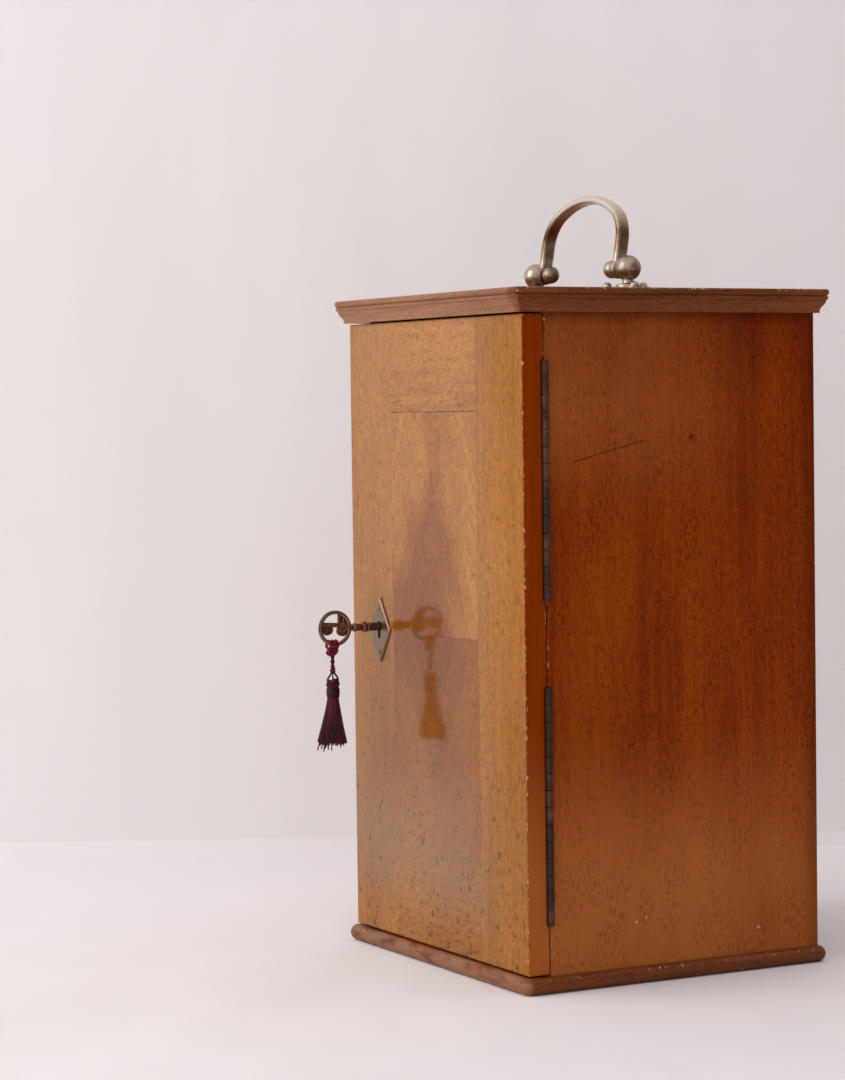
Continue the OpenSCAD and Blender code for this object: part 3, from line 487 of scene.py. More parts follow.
def side_marks(net, point, colour):
    """Slanted streak, scratch, dark spot and pale specks of the hinged side, and its dull places"""
    c = bpy.context.scene.case_colours
    y, z = net.split(point)[1:]
    cloud = net.noise(point, (16, 16, 10), 3)
    streak = abs(y - (z - 0.10) * 0.16 + (cloud * 0.03 + 0.042)).fade(0.026, 0.004)
    colour = colour.paint(streak * abs(z - 0.17).fade(0.14, 0.03) * 0.16, srgb(186, 98, 4))
    deep = y.fade(-0.02, 0.075) * cloud.fade(0.25, 0.6, 0.6, 1.0) * z.fade(0.06, 0.20, 0.2, 1.0)
    colour = colour.tint(deep * 0.7, srgb(226, 202, 140))
    corner = z.fade(0.245, 0.315) * y.fade(0.075, -0.045)
    dull = z.fade(0.145, 0.055).max(corner * 0.75) * cloud.fade(0.3, 0.65, 0.6, 1.0)
    colour = colour.paint(dull * 0.85, srgb(178, 106, 50))
    colour = colour.tint(z.fade(0.30, 0.36) * 0.3, srgb(190, 150, 120))
    mottle = net.noise(point, (620, 620, 260), 4, 0.65).fade(0.46, 0.62)
    mottle = mottle * net.noise(point, (60, 60, 30), 3).fade(0.4, 0.6, 0.1, 0.36)
    edge = y.fade(0.080, 0.093).max(z.fade(0.352, 0.360))
    colour = colour.tint(mottle, c.side_dark).tint(edge * 0.4, c.side_dark)
    dark = [(-62, 281.5, -19, 292, 0.6, 0.85), (12.3, 293.5, 12.6, 293.2, 2.6, 0.95)]
    pale = [(-26.5, 33.5, -26, 33, 0.8, 0.8), (-20, 35.5, -19.5, 35, 0.7, 0.8),
            (52.8, 23, 53.4, 22.8, 0.7, 0.8)]
    for rows, paint in ((dark, c.pore), (pale, srgb(225, 200, 170))):
        colour = marks(net, point, colour, rows, paint, lambda y, z: (SIDE_X, y, z))
    return colour, None


def base_marks(net, point, colour):
    """Front of the base board, where feet and cloths have worn it pale"""
    front = net.split(point)[1].fade(-0.092, -0.095) * net.noise(point, (60, 60, 200), 3).fade(0.3, 0.6)
    return colour.paint(front * 0.6, srgb(160, 118, 88)), None


def top_shade_and_dust(net, point, colour):
    """Side of the cornice, darkened with painted shade and duller than its front, and the dusty top"""
    x, _, z = net.split(point)
    flat = z.fade(0.3732, 0.3735)
    side = x.fade(0.095, 0.099) * (flat * -0.8 + 1.0)
    # Painted shade: the side of the cornice is tinted darker, and its coat is also dulled
    return colour.tint(side * 0.6, srgb(192, 126, 84)), side.max(flat * 0.8)


def door_marks(net, point, colour):
    """Hairlines at the joints, grey bloom and scuffs low on the door, and its darker hinged edge"""
    c = bpy.context.scene.case_colours
    x, _, z = net.split(point)
    cloud = net.noise(point, (22, 22, 16), 3)
    reach = x + 0.022 + (net.noise(point, (26, 26, 20), 4) * 0.05 - 0.025)
    reach = reach.max(reach * -0.6).fade(0.062, 0.022)
    deep = z.fade(0.27, 0.17) * z.fade(0.05, 0.11) * reach
    colour = colour.tint(deep * 0.42, srgb(186, 154, 58))
    bloom = z.fade(0.13, 0.06) * cloud.fade(0.25, 0.60, 0.4, 1.0)
    shade = z.fade(0.015, 0.05) * x.fade(0.075, 0.03, 0.15, 1.0)
    colour = colour.paint(bloom * shade * 0.72, srgb(138, 100, 66))
    mottle = net.noise(point, (300, 300, 170), 4, 0.6).fade(0.40, 0.68)
    colour = colour.tint(mottle * 0.22, srgb(150, 104, 60))
    ochre = x.fade(0.045, 0.092) * z.fade(0.04, 0.13, 0.35, 1.0)
    colour = colour.tint(ochre * 0.6, srgb(238, 226, 150))
    side, low, high, mid = PANEL_HALF, PANEL_LOW_Z, PANEL_HIGH_Z, PANEL_JOINT_Z
    rows = [(-side, high, side, high, 0.5, 1.0), (0, mid, side, mid, 0.35, 0.6),
            (side, low, side, high, 0.35, 0.5), (-side, low, -side, high, 0.3, 0.25),
            (-side, low, side, low, 0.3, 0.25), (-47, 314, -35, 315.5, 0.9, 0.6)]
    colour = marks(net, point, colour, rows, c.pore, lambda x, z: (x, FRONT_Y, z))
    spots = net.noise(point, (210, 210, 210), 2).fade(0.63, 0.72) * z.fade(0.17, 0.06)
    colour = colour.paint(spots * 0.65, c.pore)
    edge = x.fade((DOOR_HIGH.x - 0.7) / 1000, (DOOR_HIGH.x - 0.1) / 1000)
    end_wood = net.mix(net.noise(point, (300, 300, 12), 3), srgb(150, 64, 2), c.side_dark)
    end_wood = end_wood.paint(z.fade(0.15, 0.05, 0, 0.8), srgb(176, 104, 48))
    rubbed = x.fade(0.030, 0.092, 0, 0.7).max(z.fade(0.055, 0.018, 0, 0.5))
    return colour.paint(edge, end_wood), edge.max(rubbed * cloud.fade(0.25, 0.6, 0.6, 1.0))


def panel_grain(net, point, shift):
    """Grain of the quarter-matched panel, which slants and is mirrored about its middle and its joint"""
    x, y, z = net.split(point)
    out, up = abs(x + 0.002), abs(z - PANEL_JOINT_Z / 1000)
    lean = math.radians(24)
    across = out * math.cos(lean) + up * math.sin(lean)
    run = up * math.cos(lean) - out * math.sin(lean)
    return net.vector("ADD", net.join(across, y, run), shift)


def panel_marks(net, point, colour):
    """Dark flame of the upper half and the darker lower half, then the door's own marks"""
    x, _, z = net.split(point)
    warp = net.noise(point, (40, 40, 26), 5, 0.6) * 0.09 - 0.045
    out = abs(x - z.fade(0.18, 0.28, -0.018, 0.004) + warp)
    flame = (z.fade(0.19, 0.31, 0.036, 0.004) - out).fade(-0.026, 0.020)
    flame = flame * z.fade(0.33, 0.20, 0.95, 0.78)
    below = z.fade((PANEL_JOINT_Z + 0.2) / 1000, (PANEL_JOINT_Z - 0.2) / 1000)
    patch = x.fade(0.020, -0.016) * z.fade(0.184, 0.130)
    wide = patch * -0.4 + z.fade(0.04, 0.13, 0.4, 0.85)
    depth = below * (wide - flame) + flame
    return door_marks(net, point, colour.tint(depth, srgb(205, 175, 62)))


def key_relief(net, point, colour):
    """Dirt in the hollows of the bow, and its rubbed high faces"""
    x, y, _ = net.split(point)
    out = abs(x - KEY_X / 1000)
    bow = y.fade(-0.1125, -0.1145)
    colour = colour.paint(out.fade(0.00062, 0.00046) * bow * 0.6, srgb(30, 18, 11))
    return colour.paint(out.fade(0.00064, 0.0009) * bow * 0.45, srgb(168, 146, 124))


def bail_tarnish_and_highlight(net, point, colour):
    """Brown legs of the bail, and a painted highlight on its crown"""
    z = net.split(point)[2]
    legs = z.fade(0.394, 0.398) * z.fade(0.426, 0.412)
    colour = colour.tint(legs * 0.7, srgb(190, 160, 122))
    # Painted highlight: a pale band is painted round the crown of the bail
    return colour.paint(z.fade(0.411, 0.424, 0, 0.85), srgb(222, 212, 196))


def finishes():
    """All the materials of the case, by name"""
    c = bpy.context.scene.case_colours
    for name, build in BUILDERS.items():
        EFFECTS[name] = build()
    side_box, left_box = box_mm("side_panel_right"), box_mm("side_panel_left")
    body_box = (left_box[0], side_box[1])
    door = dict(light=c.door_light, dark=c.door_dark, pore=c.pore, box=DOOR_BOX, coat=0.82, bare=c.bare,
                gloss=(0.3, 0.42), specular=0.02, pores=0.75, coat_rough=0.105, rub=1.3)
    side = dict(light=c.side_light, dark=c.side_dark, pore=c.pore, coat=0.0, specular=0.06, bare=c.bare,
                bands=0.6, pores=0.8)
    moulding = dict(pore=c.pore, run=mitred, specular=0.12, bare=c.bare)
    return {
        "side_right": wood("Side mahogany, right", box=side_box, finish=side_marks,
                           shift=(0.31, 0.12, 0.4), rub=1.0, **side),
        "side_left": wood("Side mahogany, left", box=left_box, shift=(1.7, 0.5, 0.1), **side),
        "back": wood("Back mahogany", box=body_box, shift=(0.4, 2.1, 0.6), rub=0.8, **side),
        "top": wood("Cornice mahogany", c.top_light, c.top_dark, box=box_mm("top_board"),
                    shift=(0.2, 0.7, 0.3), bands=0.7, rub=1.5, bruised=0.8, finish=top_shade_and_dust, **moulding),
        "base": wood("Base mahogany", c.base_light, c.base_dark, box=(BASE_LOW, BASE_HIGH),
                     shift=(0.9, 0.1, 0.5), bands=0.8, coat=0.15, bruised=1.0, rub=2.5, gloss=(0.35, 0.55),
                     finish=base_marks, **moulding),
        "stile": wood("Door stile mahogany", shift=(0.15, 0.33, 0.9), bands=0.5, finish=door_marks, **door),
        "rail": wood("Door rail mahogany", run=along("X"), shift=(0.6, 0.25, 0.45), bands=0.5,
                     finish=door_marks, **door),
        "panel": wood("Figured door panel", run=panel_grain, shift=(0.5, 0.9, 0.2), bands=0.9,
                      finish=panel_marks, **door),
        "inside": wood("Waxed mahogany", c.inside, c.base_dark, c.pore, body_box, along("Y"),
                       (0.3, 0.1, 0.2), coat=0.0, specular=0.3, gloss=(0.5, 0.65), bruised=0.3, bare=c.bare),
        "nickel": metal("Aged nickel silver", c.nickel, c.nickel_tarnish, 0.42, gloss_shift=0.03,
                        finish=bail_tarnish_and_highlight),
        "escutcheon": metal("Worn grey plate", c.plate, c.nickel_tarnish, 0.34, gloss_shift=0.12),
        "key": metal("Aged bronze", c.bronze, c.bronze_tarnish, 0.55, finish=key_relief),
        "hinge": metal("Tarnished hinge bronze", c.hinge, c.bronze_tarnish, 0.6, 0.5, 0.15),
        "brass": metal("Dull lock brass", c.brass, c.bronze_tarnish, 0.28),
        "steel": metal("Filed lock steel", c.steel, c.bronze_tarnish, 0.3),
        "thread": thread("Burgundy thread", c.thread, srgb(17, 3, 8)),
        "binding": thread("Dark binding thread", srgb(44, 5, 16), srgb(15, 2, 7)),
        "loop": thread("Crimson thread", c.thread_light, c.thread),
    }


FINISH = {}


# Meshes


def add_object(name, data):
    """New object in the scene"""
    obj = bpy.data.objects.new(name, data)
    bpy.context.scene.collection.objects.link(obj)
    return obj


def mesh_of(bm, name):
    """Mesh of a bmesh, which is used up"""
    mesh = bpy.data.meshes.new(name)
    bm.to_mesh(mesh)
    bm.free()
    return mesh


def polar(radius, turn, up=0.0):
    """Point at a distance from the Z axis, at an angle in radians"""
    return Vector((radius * math.cos(turn), radius * math.sin(turn), up))


def arc(cx, cy, r, a, b, steps):
    """Points along an arc, between two angles in degrees"""
    turns = [math.radians(a + (b - a) * i / steps) for i in range(steps + 1)]
    return [(cx + r * math.cos(t), cy + r * math.sin(t)) for t in turns]


def place_at(point, z_axis, turn=0.0):
    """Matrix that puts a turned shape at a point with its height along an axis"""
    spin = Vector(z_axis).to_track_quat("Z", "Y").to_matrix().to_4x4()
    return Matrix.Translation(point) @ spin @ Matrix.Rotation(math.radians(turn), 4, "Z")


def catmull(points, steps):
    """Smooth line through points, with the given number of steps between two of them"""
    p = [Vector(point) for point in points]
    p = [2 * p[0] - p[1], *p, 2 * p[-1] - p[-2]]
    line = []
    for i in range(1, len(p) - 2):
        a, b, c, d = p[i - 1:i + 3]
        for k in range(steps):
            t = k / steps
            line.append(0.5 * (2 * b + (c - a) * t + (2 * a - 5 * b + 4 * c - d) * t * t
                               + (3 * b - a - 3 * c + d) * t ** 3))
    return line + [p[-2]]


def frames_along(line, closed=False, start=None):
    """Two square axes at each point of a line, without twist"""
    last = len(line) - 1
    axis = start
    result = []
    for i in range(len(line)):
        before, after = (i - 1, (i + 1) % len(line)) if closed else (max(i - 1, 0), min(i + 1, last))
        way = (line[after] - line[before]).normalized()
        axis = axis or way.orthogonal()
        axis = (axis - way * axis.dot(way)).normalized()
        result.append((axis, way.cross(axis)))
    return result


def skin(bm, rings, closed=False):
    """Faces between rings of vertices, and over both ends of an open skin"""
    loops = [[bm.verts.new(p) for p in ring] for ring in rings]
    size = len(loops[0])
    for low, high in zip(loops, loops[1:] + loops[:1] if closed else loops[1:]):
        for k in range(size):
            bm.faces.new((low[k], low[(k + 1) % size], high[(k + 1) % size], high[k]))
    if not closed:
        bm.faces.new(loops[0][::-1])
        bm.faces.new(loops[-1])


def sweep(bm, line, section, start=None, closed=False):
    """A section of (across, up) points carried along a line, whose first axis is start"""
    frames = frames_along(line, closed, start)
    skin(bm, [[p + a * u + b * v for a, b in section] for p, (u, v) in zip(line, frames)], closed)


def tube(bm, line, radius, sides):
    """Round tube along a line"""
    sweep(bm, line, arc(0, 0, radius, 0, 360, sides)[:-1])


def two_ply(bm, line, thick, pitch=2.6):
    """Cord of two plies laid round each other along a line"""
    travelled = [0.0]
    for a, b in zip(line, line[1:]):
        travelled.append(travelled[-1] + (b - a).length)
    frames = frames_along(line)
    for ply in (0, math.pi):
        strand = []
        for p, (u, v), run in zip(line, frames, travelled):
            turn = polar(thick * 0.24, ply + 2 * math.pi * run / pitch)
            strand.append(p + turn.x * u + turn.y * v)
        tube(bm, strand, thick * 0.26, 6)


def lathe(bm, profile, place=Matrix.Identity(4), steps=48):
    """Turned shape from (radius, height) points, put in place by a matrix"""
    turns = [2 * math.pi * k / steps for k in range(steps)]
    rings = [[bm.verts.new(place @ polar(radius, turn, height)) for turn in (turns if radius else [0])]
             for radius, height in profile]
    for low, high in zip(rings, rings[1:]):
        for k in range(steps):
            after = (k + 1) % steps
            corners = [low[k % len(low)], low[after % len(low)], high[after % len(high)], high[k % len(high)]]
            bm.faces.new(dict.fromkeys(corners))


def add_block(bm, middle, size, turn=0.0):
    """Add a block by its middle and its size, turned about Z by degrees"""
    verts = bmesh.ops.create_cube(bm, size=1)["verts"]
    spin = Matrix.Rotation(math.radians(turn), 4, "Z")
    bmesh.ops.transform(bm, verts=verts,
                        matrix=Matrix.Translation(middle) @ spin @ Matrix.Diagonal((*size, 1)))


def rounded_outline(half_x, half_y, radius):
    """Rectangle with round corners, counter-clockwise, with points along its sides too"""
    points = []
    step = 4.0
    centres = [(1, 1), (-1, 1), (-1, -1), (1, -1)]
    for i, (sx, sy) in enumerate(centres):
        cx, cy = sx * (half_x - radius), sy * (half_y - radius)
        points += arc(cx, cy, radius, 90 * i, 90 * i + 90, 6)
        nx, ny = centres[(i + 1) % 4]
        start, end = Vector(points[-1]), Vector((nx * (half_x - radius), ny * (half_y - radius)))
        end += Vector((nx * radius, 0)) if i % 2 else Vector((0, sy * radius))
        count = int((end - start).length / step)
        points += [tuple(start.lerp(end, k / count)) for k in range(1, count)]
    return points


def planed_copy(node):
    """Copy of a CAD solid in millimetres, whose flat faces are whole again"""
    bm = bmesh.new()
    bm.from_mesh(frame["nodes"][node].data)
    bmesh.ops.transform(bm, matrix=Matrix.Scale(1000, 4), verts=bm.verts)
    bmesh.ops.remove_doubles(bm, verts=bm.verts, dist=0.002)
    bmesh.ops.dissolve_limit(bm, angle_limit=math.radians(0.5), verts=bm.verts, edges=bm.edges)
    bmesh.ops.recalc_face_normals(bm, faces=bm.faces)
    return bm


def ease_edges(bm, box, outer, inner):
    """Round the edges on two faces of a box by outer, and those on one face by inner"""
    for wanted, radius in ((2, outer), (1, inner)):
        chosen = []
        for edge in bm.edges:
            if len(edge.link_faces) != 2 or not edge.is_convex or edge.calc_face_angle() < 0.8:
                continue
            a, b = (v.co for v in edge.verts)
            shared = sum(1 for i in range(3) for face in (box[0][i], box[1][i])
                         if abs(a[i] - face) < 0.01 and abs(b[i] - face) < 0.01)
            if shared == wanted:
                chosen.append(edge)
        if chosen and radius > 0:
            bmesh.ops.bevel(bm, geom=chosen, offset=radius, segments=3, profile=0.5,
                            affect="EDGES", clamp_overlap=True)


def carved(bm, tools):
    """Cut closed bmeshes from another"""
    objects = []
    for solid in (bm, *tools):
        bmesh.ops.recalc_face_normals(solid, faces=solid.faces)
        objects.append(add_object("tool", mesh_of(solid, "tool")))
    for tool in objects[1:]:
        cut = objects[0].modifiers.new("cut", "BOOLEAN")
        cut.operation, cut.object, cut.solver = "DIFFERENCE", tool, "EXACT"
    bpy.context.view_layer.update()
    result = bmesh.new()
    result.from_object(objects[0], bpy.context.evaluated_depsgraph_get())
    for obj in objects:
        mesh = obj.data
        bpy.data.objects.remove(obj)
        bpy.data.meshes.remove(mesh)
    return result


def gather(parts):
    """Several bmeshes as one"""
    whole = bmesh.new()
    for part in parts:
        mesh = mesh_of(part, "part")
        whole.from_mesh(mesh)
        bpy.data.meshes.remove(mesh)
    return whole


def piece(name, bm, finish, replaced=(), body=None, slot=None, crease=32.0):
    """Turn a bmesh in millimetres into a named piece that rides on a body"""
    bmesh.ops.transform(bm, matrix=Matrix.Scale(0.001, 4), verts=bm.verts)
    bmesh.ops.recalc_face_normals(bm, faces=bm.faces)
    mesh = mesh_of(bm, name)
    mesh.shade_smooth()
    mesh.set_sharp_from_angle(angle=math.radians(crease))
    mesh.materials.append(FINISH[finish])
    obj = add_object(name, mesh)
    even = obj.modifiers.new("Flat faces stay flat", "WEIGHTED_NORMAL")
    even.keep_sharp = True
    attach(obj, body or BODY_OF[replaced[0]])
    slot or SLOT_OF[replaced[0]]
    if replaced:
        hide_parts(*replaced)
    return obj


def repaint(node, finish):
    """Give a CAD solid that stays in view its finish"""
    materials = frame["nodes"][node].data.materials
    materials.clear()
    materials.append(FINISH[finish])


def follow(node, suffix, finish, outer, inner, box=None):
    """Piece that follows its CAD solid, with its edges eased by lengths in metres"""
    bm = planed_copy(node)
    ease_edges(bm, box or box_mm(node), outer * 1000, inner * 1000)
    return piece(node + suffix, bm, finish, [node])


def board(node, finish, box=None, outer=None, inner=None):
    """Wooden board, with a worn arris outside and a fine line where it meets another"""
    sizes = bpy.context.scene.case_sizes
    return follow(node, "_board", finish, outer or sizes.arris, inner or sizes.joint_line, box)


def plate(node, finish, suffix):
    """Metal plate"""
    edge = bpy.context.scene.case_sizes.metal_edge
    return follow(node, suffix, finish, edge, edge * 0.7)


def slotted_head(place, radius, dome, drop, slot, deep):
    """Screw head with a slot, flat where dome is 0, which tapers down to drop"""
    profile = [(0, -drop), (radius * 0.5, -drop), (radius, 0)]
    if dome:
        profile += [*arc(0, 0, radius, 12, 84, 8), (0, radius)]
        profile = [(r, h * dome / radius) for r, h in profile]
    else:
        profile += [(0, 0)]
    bm, cutter = bmesh.new(), bmesh.new()
    lathe(bm, profile, steps=32)
    add_block(cutter, (0, 0, dome), (radius * 3, slot, deep * 2))
    bm = carved(bm, [cutter])
    bmesh.ops.transform(bm, matrix=place, verts=bm.verts)
    return bm


# Stage


class CASE_OT_stage(bpy.types.Operator):
    """Camera, window light, room, floor and wall"""
    bl_idname = "case.stage"
    bl_label = "Stage"

    def execute(self, context):
        s = context.scene.case_stage
        azimuth, drop, roll = CAMERA_AZIMUTH, CAMERA_DROP, CAMERA_ROLL
        ahead = Vector((-math.sin(azimuth) * math.cos(drop), math.cos(azimuth) * math.cos(drop),
                        -math.sin(drop)))
        right = polar(1, azimuth)
        up = right.cross(ahead)
        right, up = (math.cos(roll) * right + math.sin(roll) * up,
                     math.cos(roll) * up - math.sin(roll) * right)
        data = bpy.data.cameras.new("Camera")
        data.lens, data.sensor_width, data.clip_start = CAMERA_LENS, 36, 0.01
        camera = add_object("Camera", data)
        turned = Matrix((right, up, -ahead)).transposed().to_4x4()
        camera.matrix_world = Matrix.Translation(CAMERA_PLACE) @ turned
        context.scene.camera = camera
        context.scene.view_settings.view_transform = "Standard"

        window = bpy.data.lights.new("Window", "AREA")
        window.shape, window.size, window.size_y, window.energy = "RECTANGLE", 1.1, 1.3, s.window
        window.color = srgb(255, 252, 248)
        lamp = add_object("Window", window)
        lamp.matrix_world = place_at(WINDOW_AIM + WINDOW_WAY * WINDOW_DISTANCE, WINDOW_WAY)

        self.room(context, s)
        self.ground(s, ahead)
        return {"FINISHED"}

    def room(self, context, s):
        """World that is bright on the window's side and dim on the other"""
        world = bpy.data.worlds.new("Room")
        context.scene.world = world
        world.use_nodes = True
        nodes = world.node_tree.nodes
        net = Net(world.node_tree)
        way = net.value("TexCoord", output="Generated")
        bright = net.vector("DOT_PRODUCT", way, (-0.88, -0.47, 0.05)).fade(-0.2, 0.8, 0.8, 1.0)
        dim = net.vector("DOT_PRODUCT", way, (0.87, 0.48, 0.10)).fade(0.60, 0.93, 1.0, 0.22)
        background = net.feed(nodes["Background"], {"Color": srgb(255, 249, 249),
                                                    "Strength": bright * dim * s.room})
        path = net.value("LightPath", output="Is Camera Ray")
        sides = {0: path, 1: Value(net, background.outputs[0]), 2: net.value("Background", {"Color": s.wall})}
        net.feed(nodes["World Output"], {"Surface": net.value("MixShader", sides)})

    def ground(self, s, ahead):
        """Floor cloth and wall, square to the view"""
        flat = Vector((ahead.x, ahead.y, 0)).normalized()
        across = Vector((-flat.y, flat.x, 0))
        cove = [(WALL_DISTANCE, -0.001), (WALL_DISTANCE + 0.004, 0.01), (WALL_DISTANCE + 0.03, 2.6)]
        for name, wide, rows, material in (
                ("Floor", 4.5, [(-4.5, 0.0), (4.0, 0.0)], stage_finish("Floor cloth", s.floor)),
                ("Wall", 2.6, cove, stage_finish("Wall cloth", s.wall, True))):
            bm = bmesh.new()
            rows = [[bm.verts.new(flat * out + across * side * wide + Vector((0, 0, z))) for side in (1, -1)]
                    for out, z in rows]
            for low, high in zip(rows, rows[1:]):
                bm.faces.new((low[0], low[1], high[1], high[0]))
            mesh = mesh_of(bm, name)
            mesh.materials.append(material)
            add_object(name, mesh)


# Tassel

CORD_ROUTE = [
    (0, 0.7, -2.2), (0.9, 0.7, -1.9), (1.7, 0.6, -1.1), (2, 0.4, 0), (1.6, 0.3, 1.2), (0.8, 0.1, 1.9),
    (0, 0, 2), (-0.8, -0.1, 1.9), (-1.6, -0.3, 1.2), (-2, -0.4, 0), (-1.6, -0.6, -1.3),
    (-0.8, -0.7, -2.2), (-0.2, -0.6, -3.4), (0, -0.4, -5), (0, -0.2, -8), (0.1, 0, -11),
    (0.1, 0, -14), (0, 0, -17), (0, 0, -19.5), (0, 0, -22)]
STRAYS = 9


def threads(name, bm, finish, replaced=()):
    """Piece of the tassel"""
    return piece(name, bm, finish, replaced, "tassel", "tassel_thread", 60)


class CASE_OT_tassel(bpy.types.Operator):
    """Cord, loops round the bow, head and skirt of the tassel"""
    bl_idname = "case.tassel"
    bl_label = "Tassel"

    def execute(self, context):
        sizes = context.scene.case_sizes
        random.seed(7)
        (head, binding), skirt = self.head(), self.skirt(sizes)
        loops, crown = self.loops(sizes.loop_d * 1000)
        route = [HANG + Vector(p) for p in CORD_ROUTE]
        fine = catmull(route, 8)
        bm = bmesh.new()
        two_ply(bm, fine, sizes.cord_d * 1000)
        cord = threads("tassel_cord_twist", bm, "thread", ["tassel_cord"])
        length = sum((b - a).length for a, b in zip(fine, fine[1:])) / 1000
        return {"FINISHED"}

    def loops(self, thick):
        """Hitch round the ring, the strands twisted down to the head, and the lumps on its crown"""
        bm = bmesh.new()

        def lay(points, share, pitch=3.2):
            two_ply(bm, catmull([HANG + Vector(p) for p in points], 4), thick * share, pitch)

        for shift, foot in ((-2.4, -1.6), (0.2, 0.4), (2.3, 1.7)):
            turns = [math.radians(a) for a in range(-150, 151, 30)]
            ring = [(2.1 * math.sin(a), shift + 0.5 * a / math.pi, 2.1 * math.cos(a)) for a in turns]
            lay([(0.6, foot, -3.6), *ring, (-0.6, foot, -3.6)], 1)
        turns = [2 * math.pi * k / 24 for k in range(25)]
        lay([(1.3 * math.sin(3 * t), (2.3 + math.cos(3 * t)) * math.cos(2 * t) - 0.2,
              (1.5 + 0.6 * math.cos(3 * t)) * math.sin(2 * t) - 4.1) for t in turns], 1)
        loops = threads("tassel_loops", bm, "loop")

        bm = bmesh.new()
        for way, phase in ((-1, 0), (1, math.pi)):
            lay([polar(0.65, phase + 11 * k / 14, -5.8 - 10.4 * k / 14) for k in range(15)], 0.72, 2.4)
            lay([(0, 0.3 * way, -15.6), (0.2, 1.8 * way, -17.6), (0, 3.1 * way, -19.4),
                 (0, 3.2 * way, -21.4), (0, 2.6 * way, -23.4)], 0.72, 2.4)
        lay([polar(1.1, t, -13.8 - 0.24 * t) for t in np.linspace(0, 10, 14)], 0.7, 2.4)
        turns = [2 * math.pi * k / 10 for k in range(31)]
        lay([polar(2.5 + 0.35 * k / 15, t, -20.6 - 0.17 * t + 0.6 * math.sin(3.4 * t))
             for k, t in enumerate(turns)], 1.1, 3.6)
        return loops, threads("tassel_crown", bm, "thread")

    def head(self):
        """Head of folded threads with a whipping round its foot"""
        low, high = box_mm("tassel_head")
        radius, tall = (high.x - low.x) / 2, high.z - low.z
        foot = Vector(((low.x + high.x) / 2, (low.y + high.y) / 2, low.z))

        def bulge(share):
            dome = 1 - max(0, (share - 0.62) / 0.40) ** 2
            swell = 0.80 + 0.16 * math.sin(math.pi * min(1, share * 1.25))
            return radius * swell * math.sqrt(max(0.02, dome))

        bm = bmesh.new()
        core = [(bulge(i / 12) * 0.86, tall * i / 12) for i in range(12)]
        lathe(bm, [(0, 0), *core, (0, tall * 0.97)], Matrix.Translation(foot), 24)
        for k in range(30):
            turn = 2 * math.pi * (k + random.uniform(-0.2, 0.2)) / 30
            shares = [i / 12 * 0.98 for i in range(13)]
            tube(bm, [foot + polar(bulge(share) * 0.93, turn + 0.5 * share, tall * share * 0.99)
                      for share in shares], 0.40, 5)
        head = threads("tassel_head_threads", bm, "thread", ["tassel_head"])
        bm = bmesh.new()
        tube(bm, [foot + polar(radius * 0.88, t, 0.6 + t / (2 * math.pi) * 0.62)
                  for t in np.linspace(0, 14 * math.pi, 240)], 0.38, 6)
        return head, threads("tassel_binding", bm, "binding")

    def skirt(self, sizes):
        """Hanging threads that spread towards an uneven hem, over a dark core"""
        low, high = box_mm("tassel_skirt")
        head_low, head_high = box_mm("tassel_head")
        neck, hem, tall = head_high.x - head_low.x, high.x - low.x, high.z - low.z
        lean = 0.035 * tall
        top = Vector(((low.x + high.x) / 2, (low.y + high.y) / 2, high.z))
        bm = bmesh.new()
        core = [(neck * 0.30 + (hem * 0.36 - neck * 0.30) * (i / 6) ** 1.3, -tall * 0.84 * i / 6)
                for i in range(1, 7)]
        lathe(bm, [(0, 0.2), (neck * 0.30, 0), *core, (0, -tall * 0.82)], Matrix.Translation(top), 24)
        for k in range(sizes.threads):
            turn = random.uniform(0, 2 * math.pi)
            layer = math.sqrt(random.uniform(0.35, 1))
            length = tall * (random.uniform(0.90, 1.0) if k >= STRAYS else random.uniform(1.02, 1.13))
            phase, sway = random.uniform(0, 6), random.uniform(0.1, 0.45)
            line = []
            for share in [i / 9 for i in range(10)]:
                spread = layer * (neck * 0.38 + (hem * 0.50 - neck * 0.38) * share ** 1.2)
                a = turn + 0.25 * share + 0.05 * sway * math.sin(phase + 5 * share)
                r = spread + sway * share * math.sin(phase * 2 + 4 * share)
                fall = Vector((0, lean * share ** 1.5, (length + 0.4) * share))
                line.append(top + polar(r, a, 0.6) - fall)
            tube(bm, line, sizes.thread_d * 500 * random.uniform(0.8, 1.15), 5)
        return threads("tassel_skirt_threads", bm, "thread", ["tassel_skirt"])


# Woodwork


def moulded(node, edge, corner, wear, finish):
    """Board whose edge profile, given as (out, up) points, runs round it with worn, uneven edges"""
    low, high = box_mm(node)
    middle = (low + high) / 2
    widest = max(out for out, _ in edge)
    half_x, half_y = (high.x - low.x) / 2 - widest, (high.y - low.y) / 2 - widest
    rings = []
    for out, up in edge:
        ring = []
        for x, y in rounded_outline(half_x + out, half_y + out, max(0.8, corner + out - widest)):
            p = Vector((middle.x + x, middle.y + y, low.z + up))
            worn = noise.noise(p * 0.09) * 0.6 + noise.noise(p * 0.35) * 0.4
            ring.append(p + Vector((-x, -y, 0)).normalized() * max(0, worn) * wear * out / widest)
        rings.append(ring)
    bm = bmesh.new()
    skin(bm, rings)
    piece(node + "_moulded", bm, finish, [node])


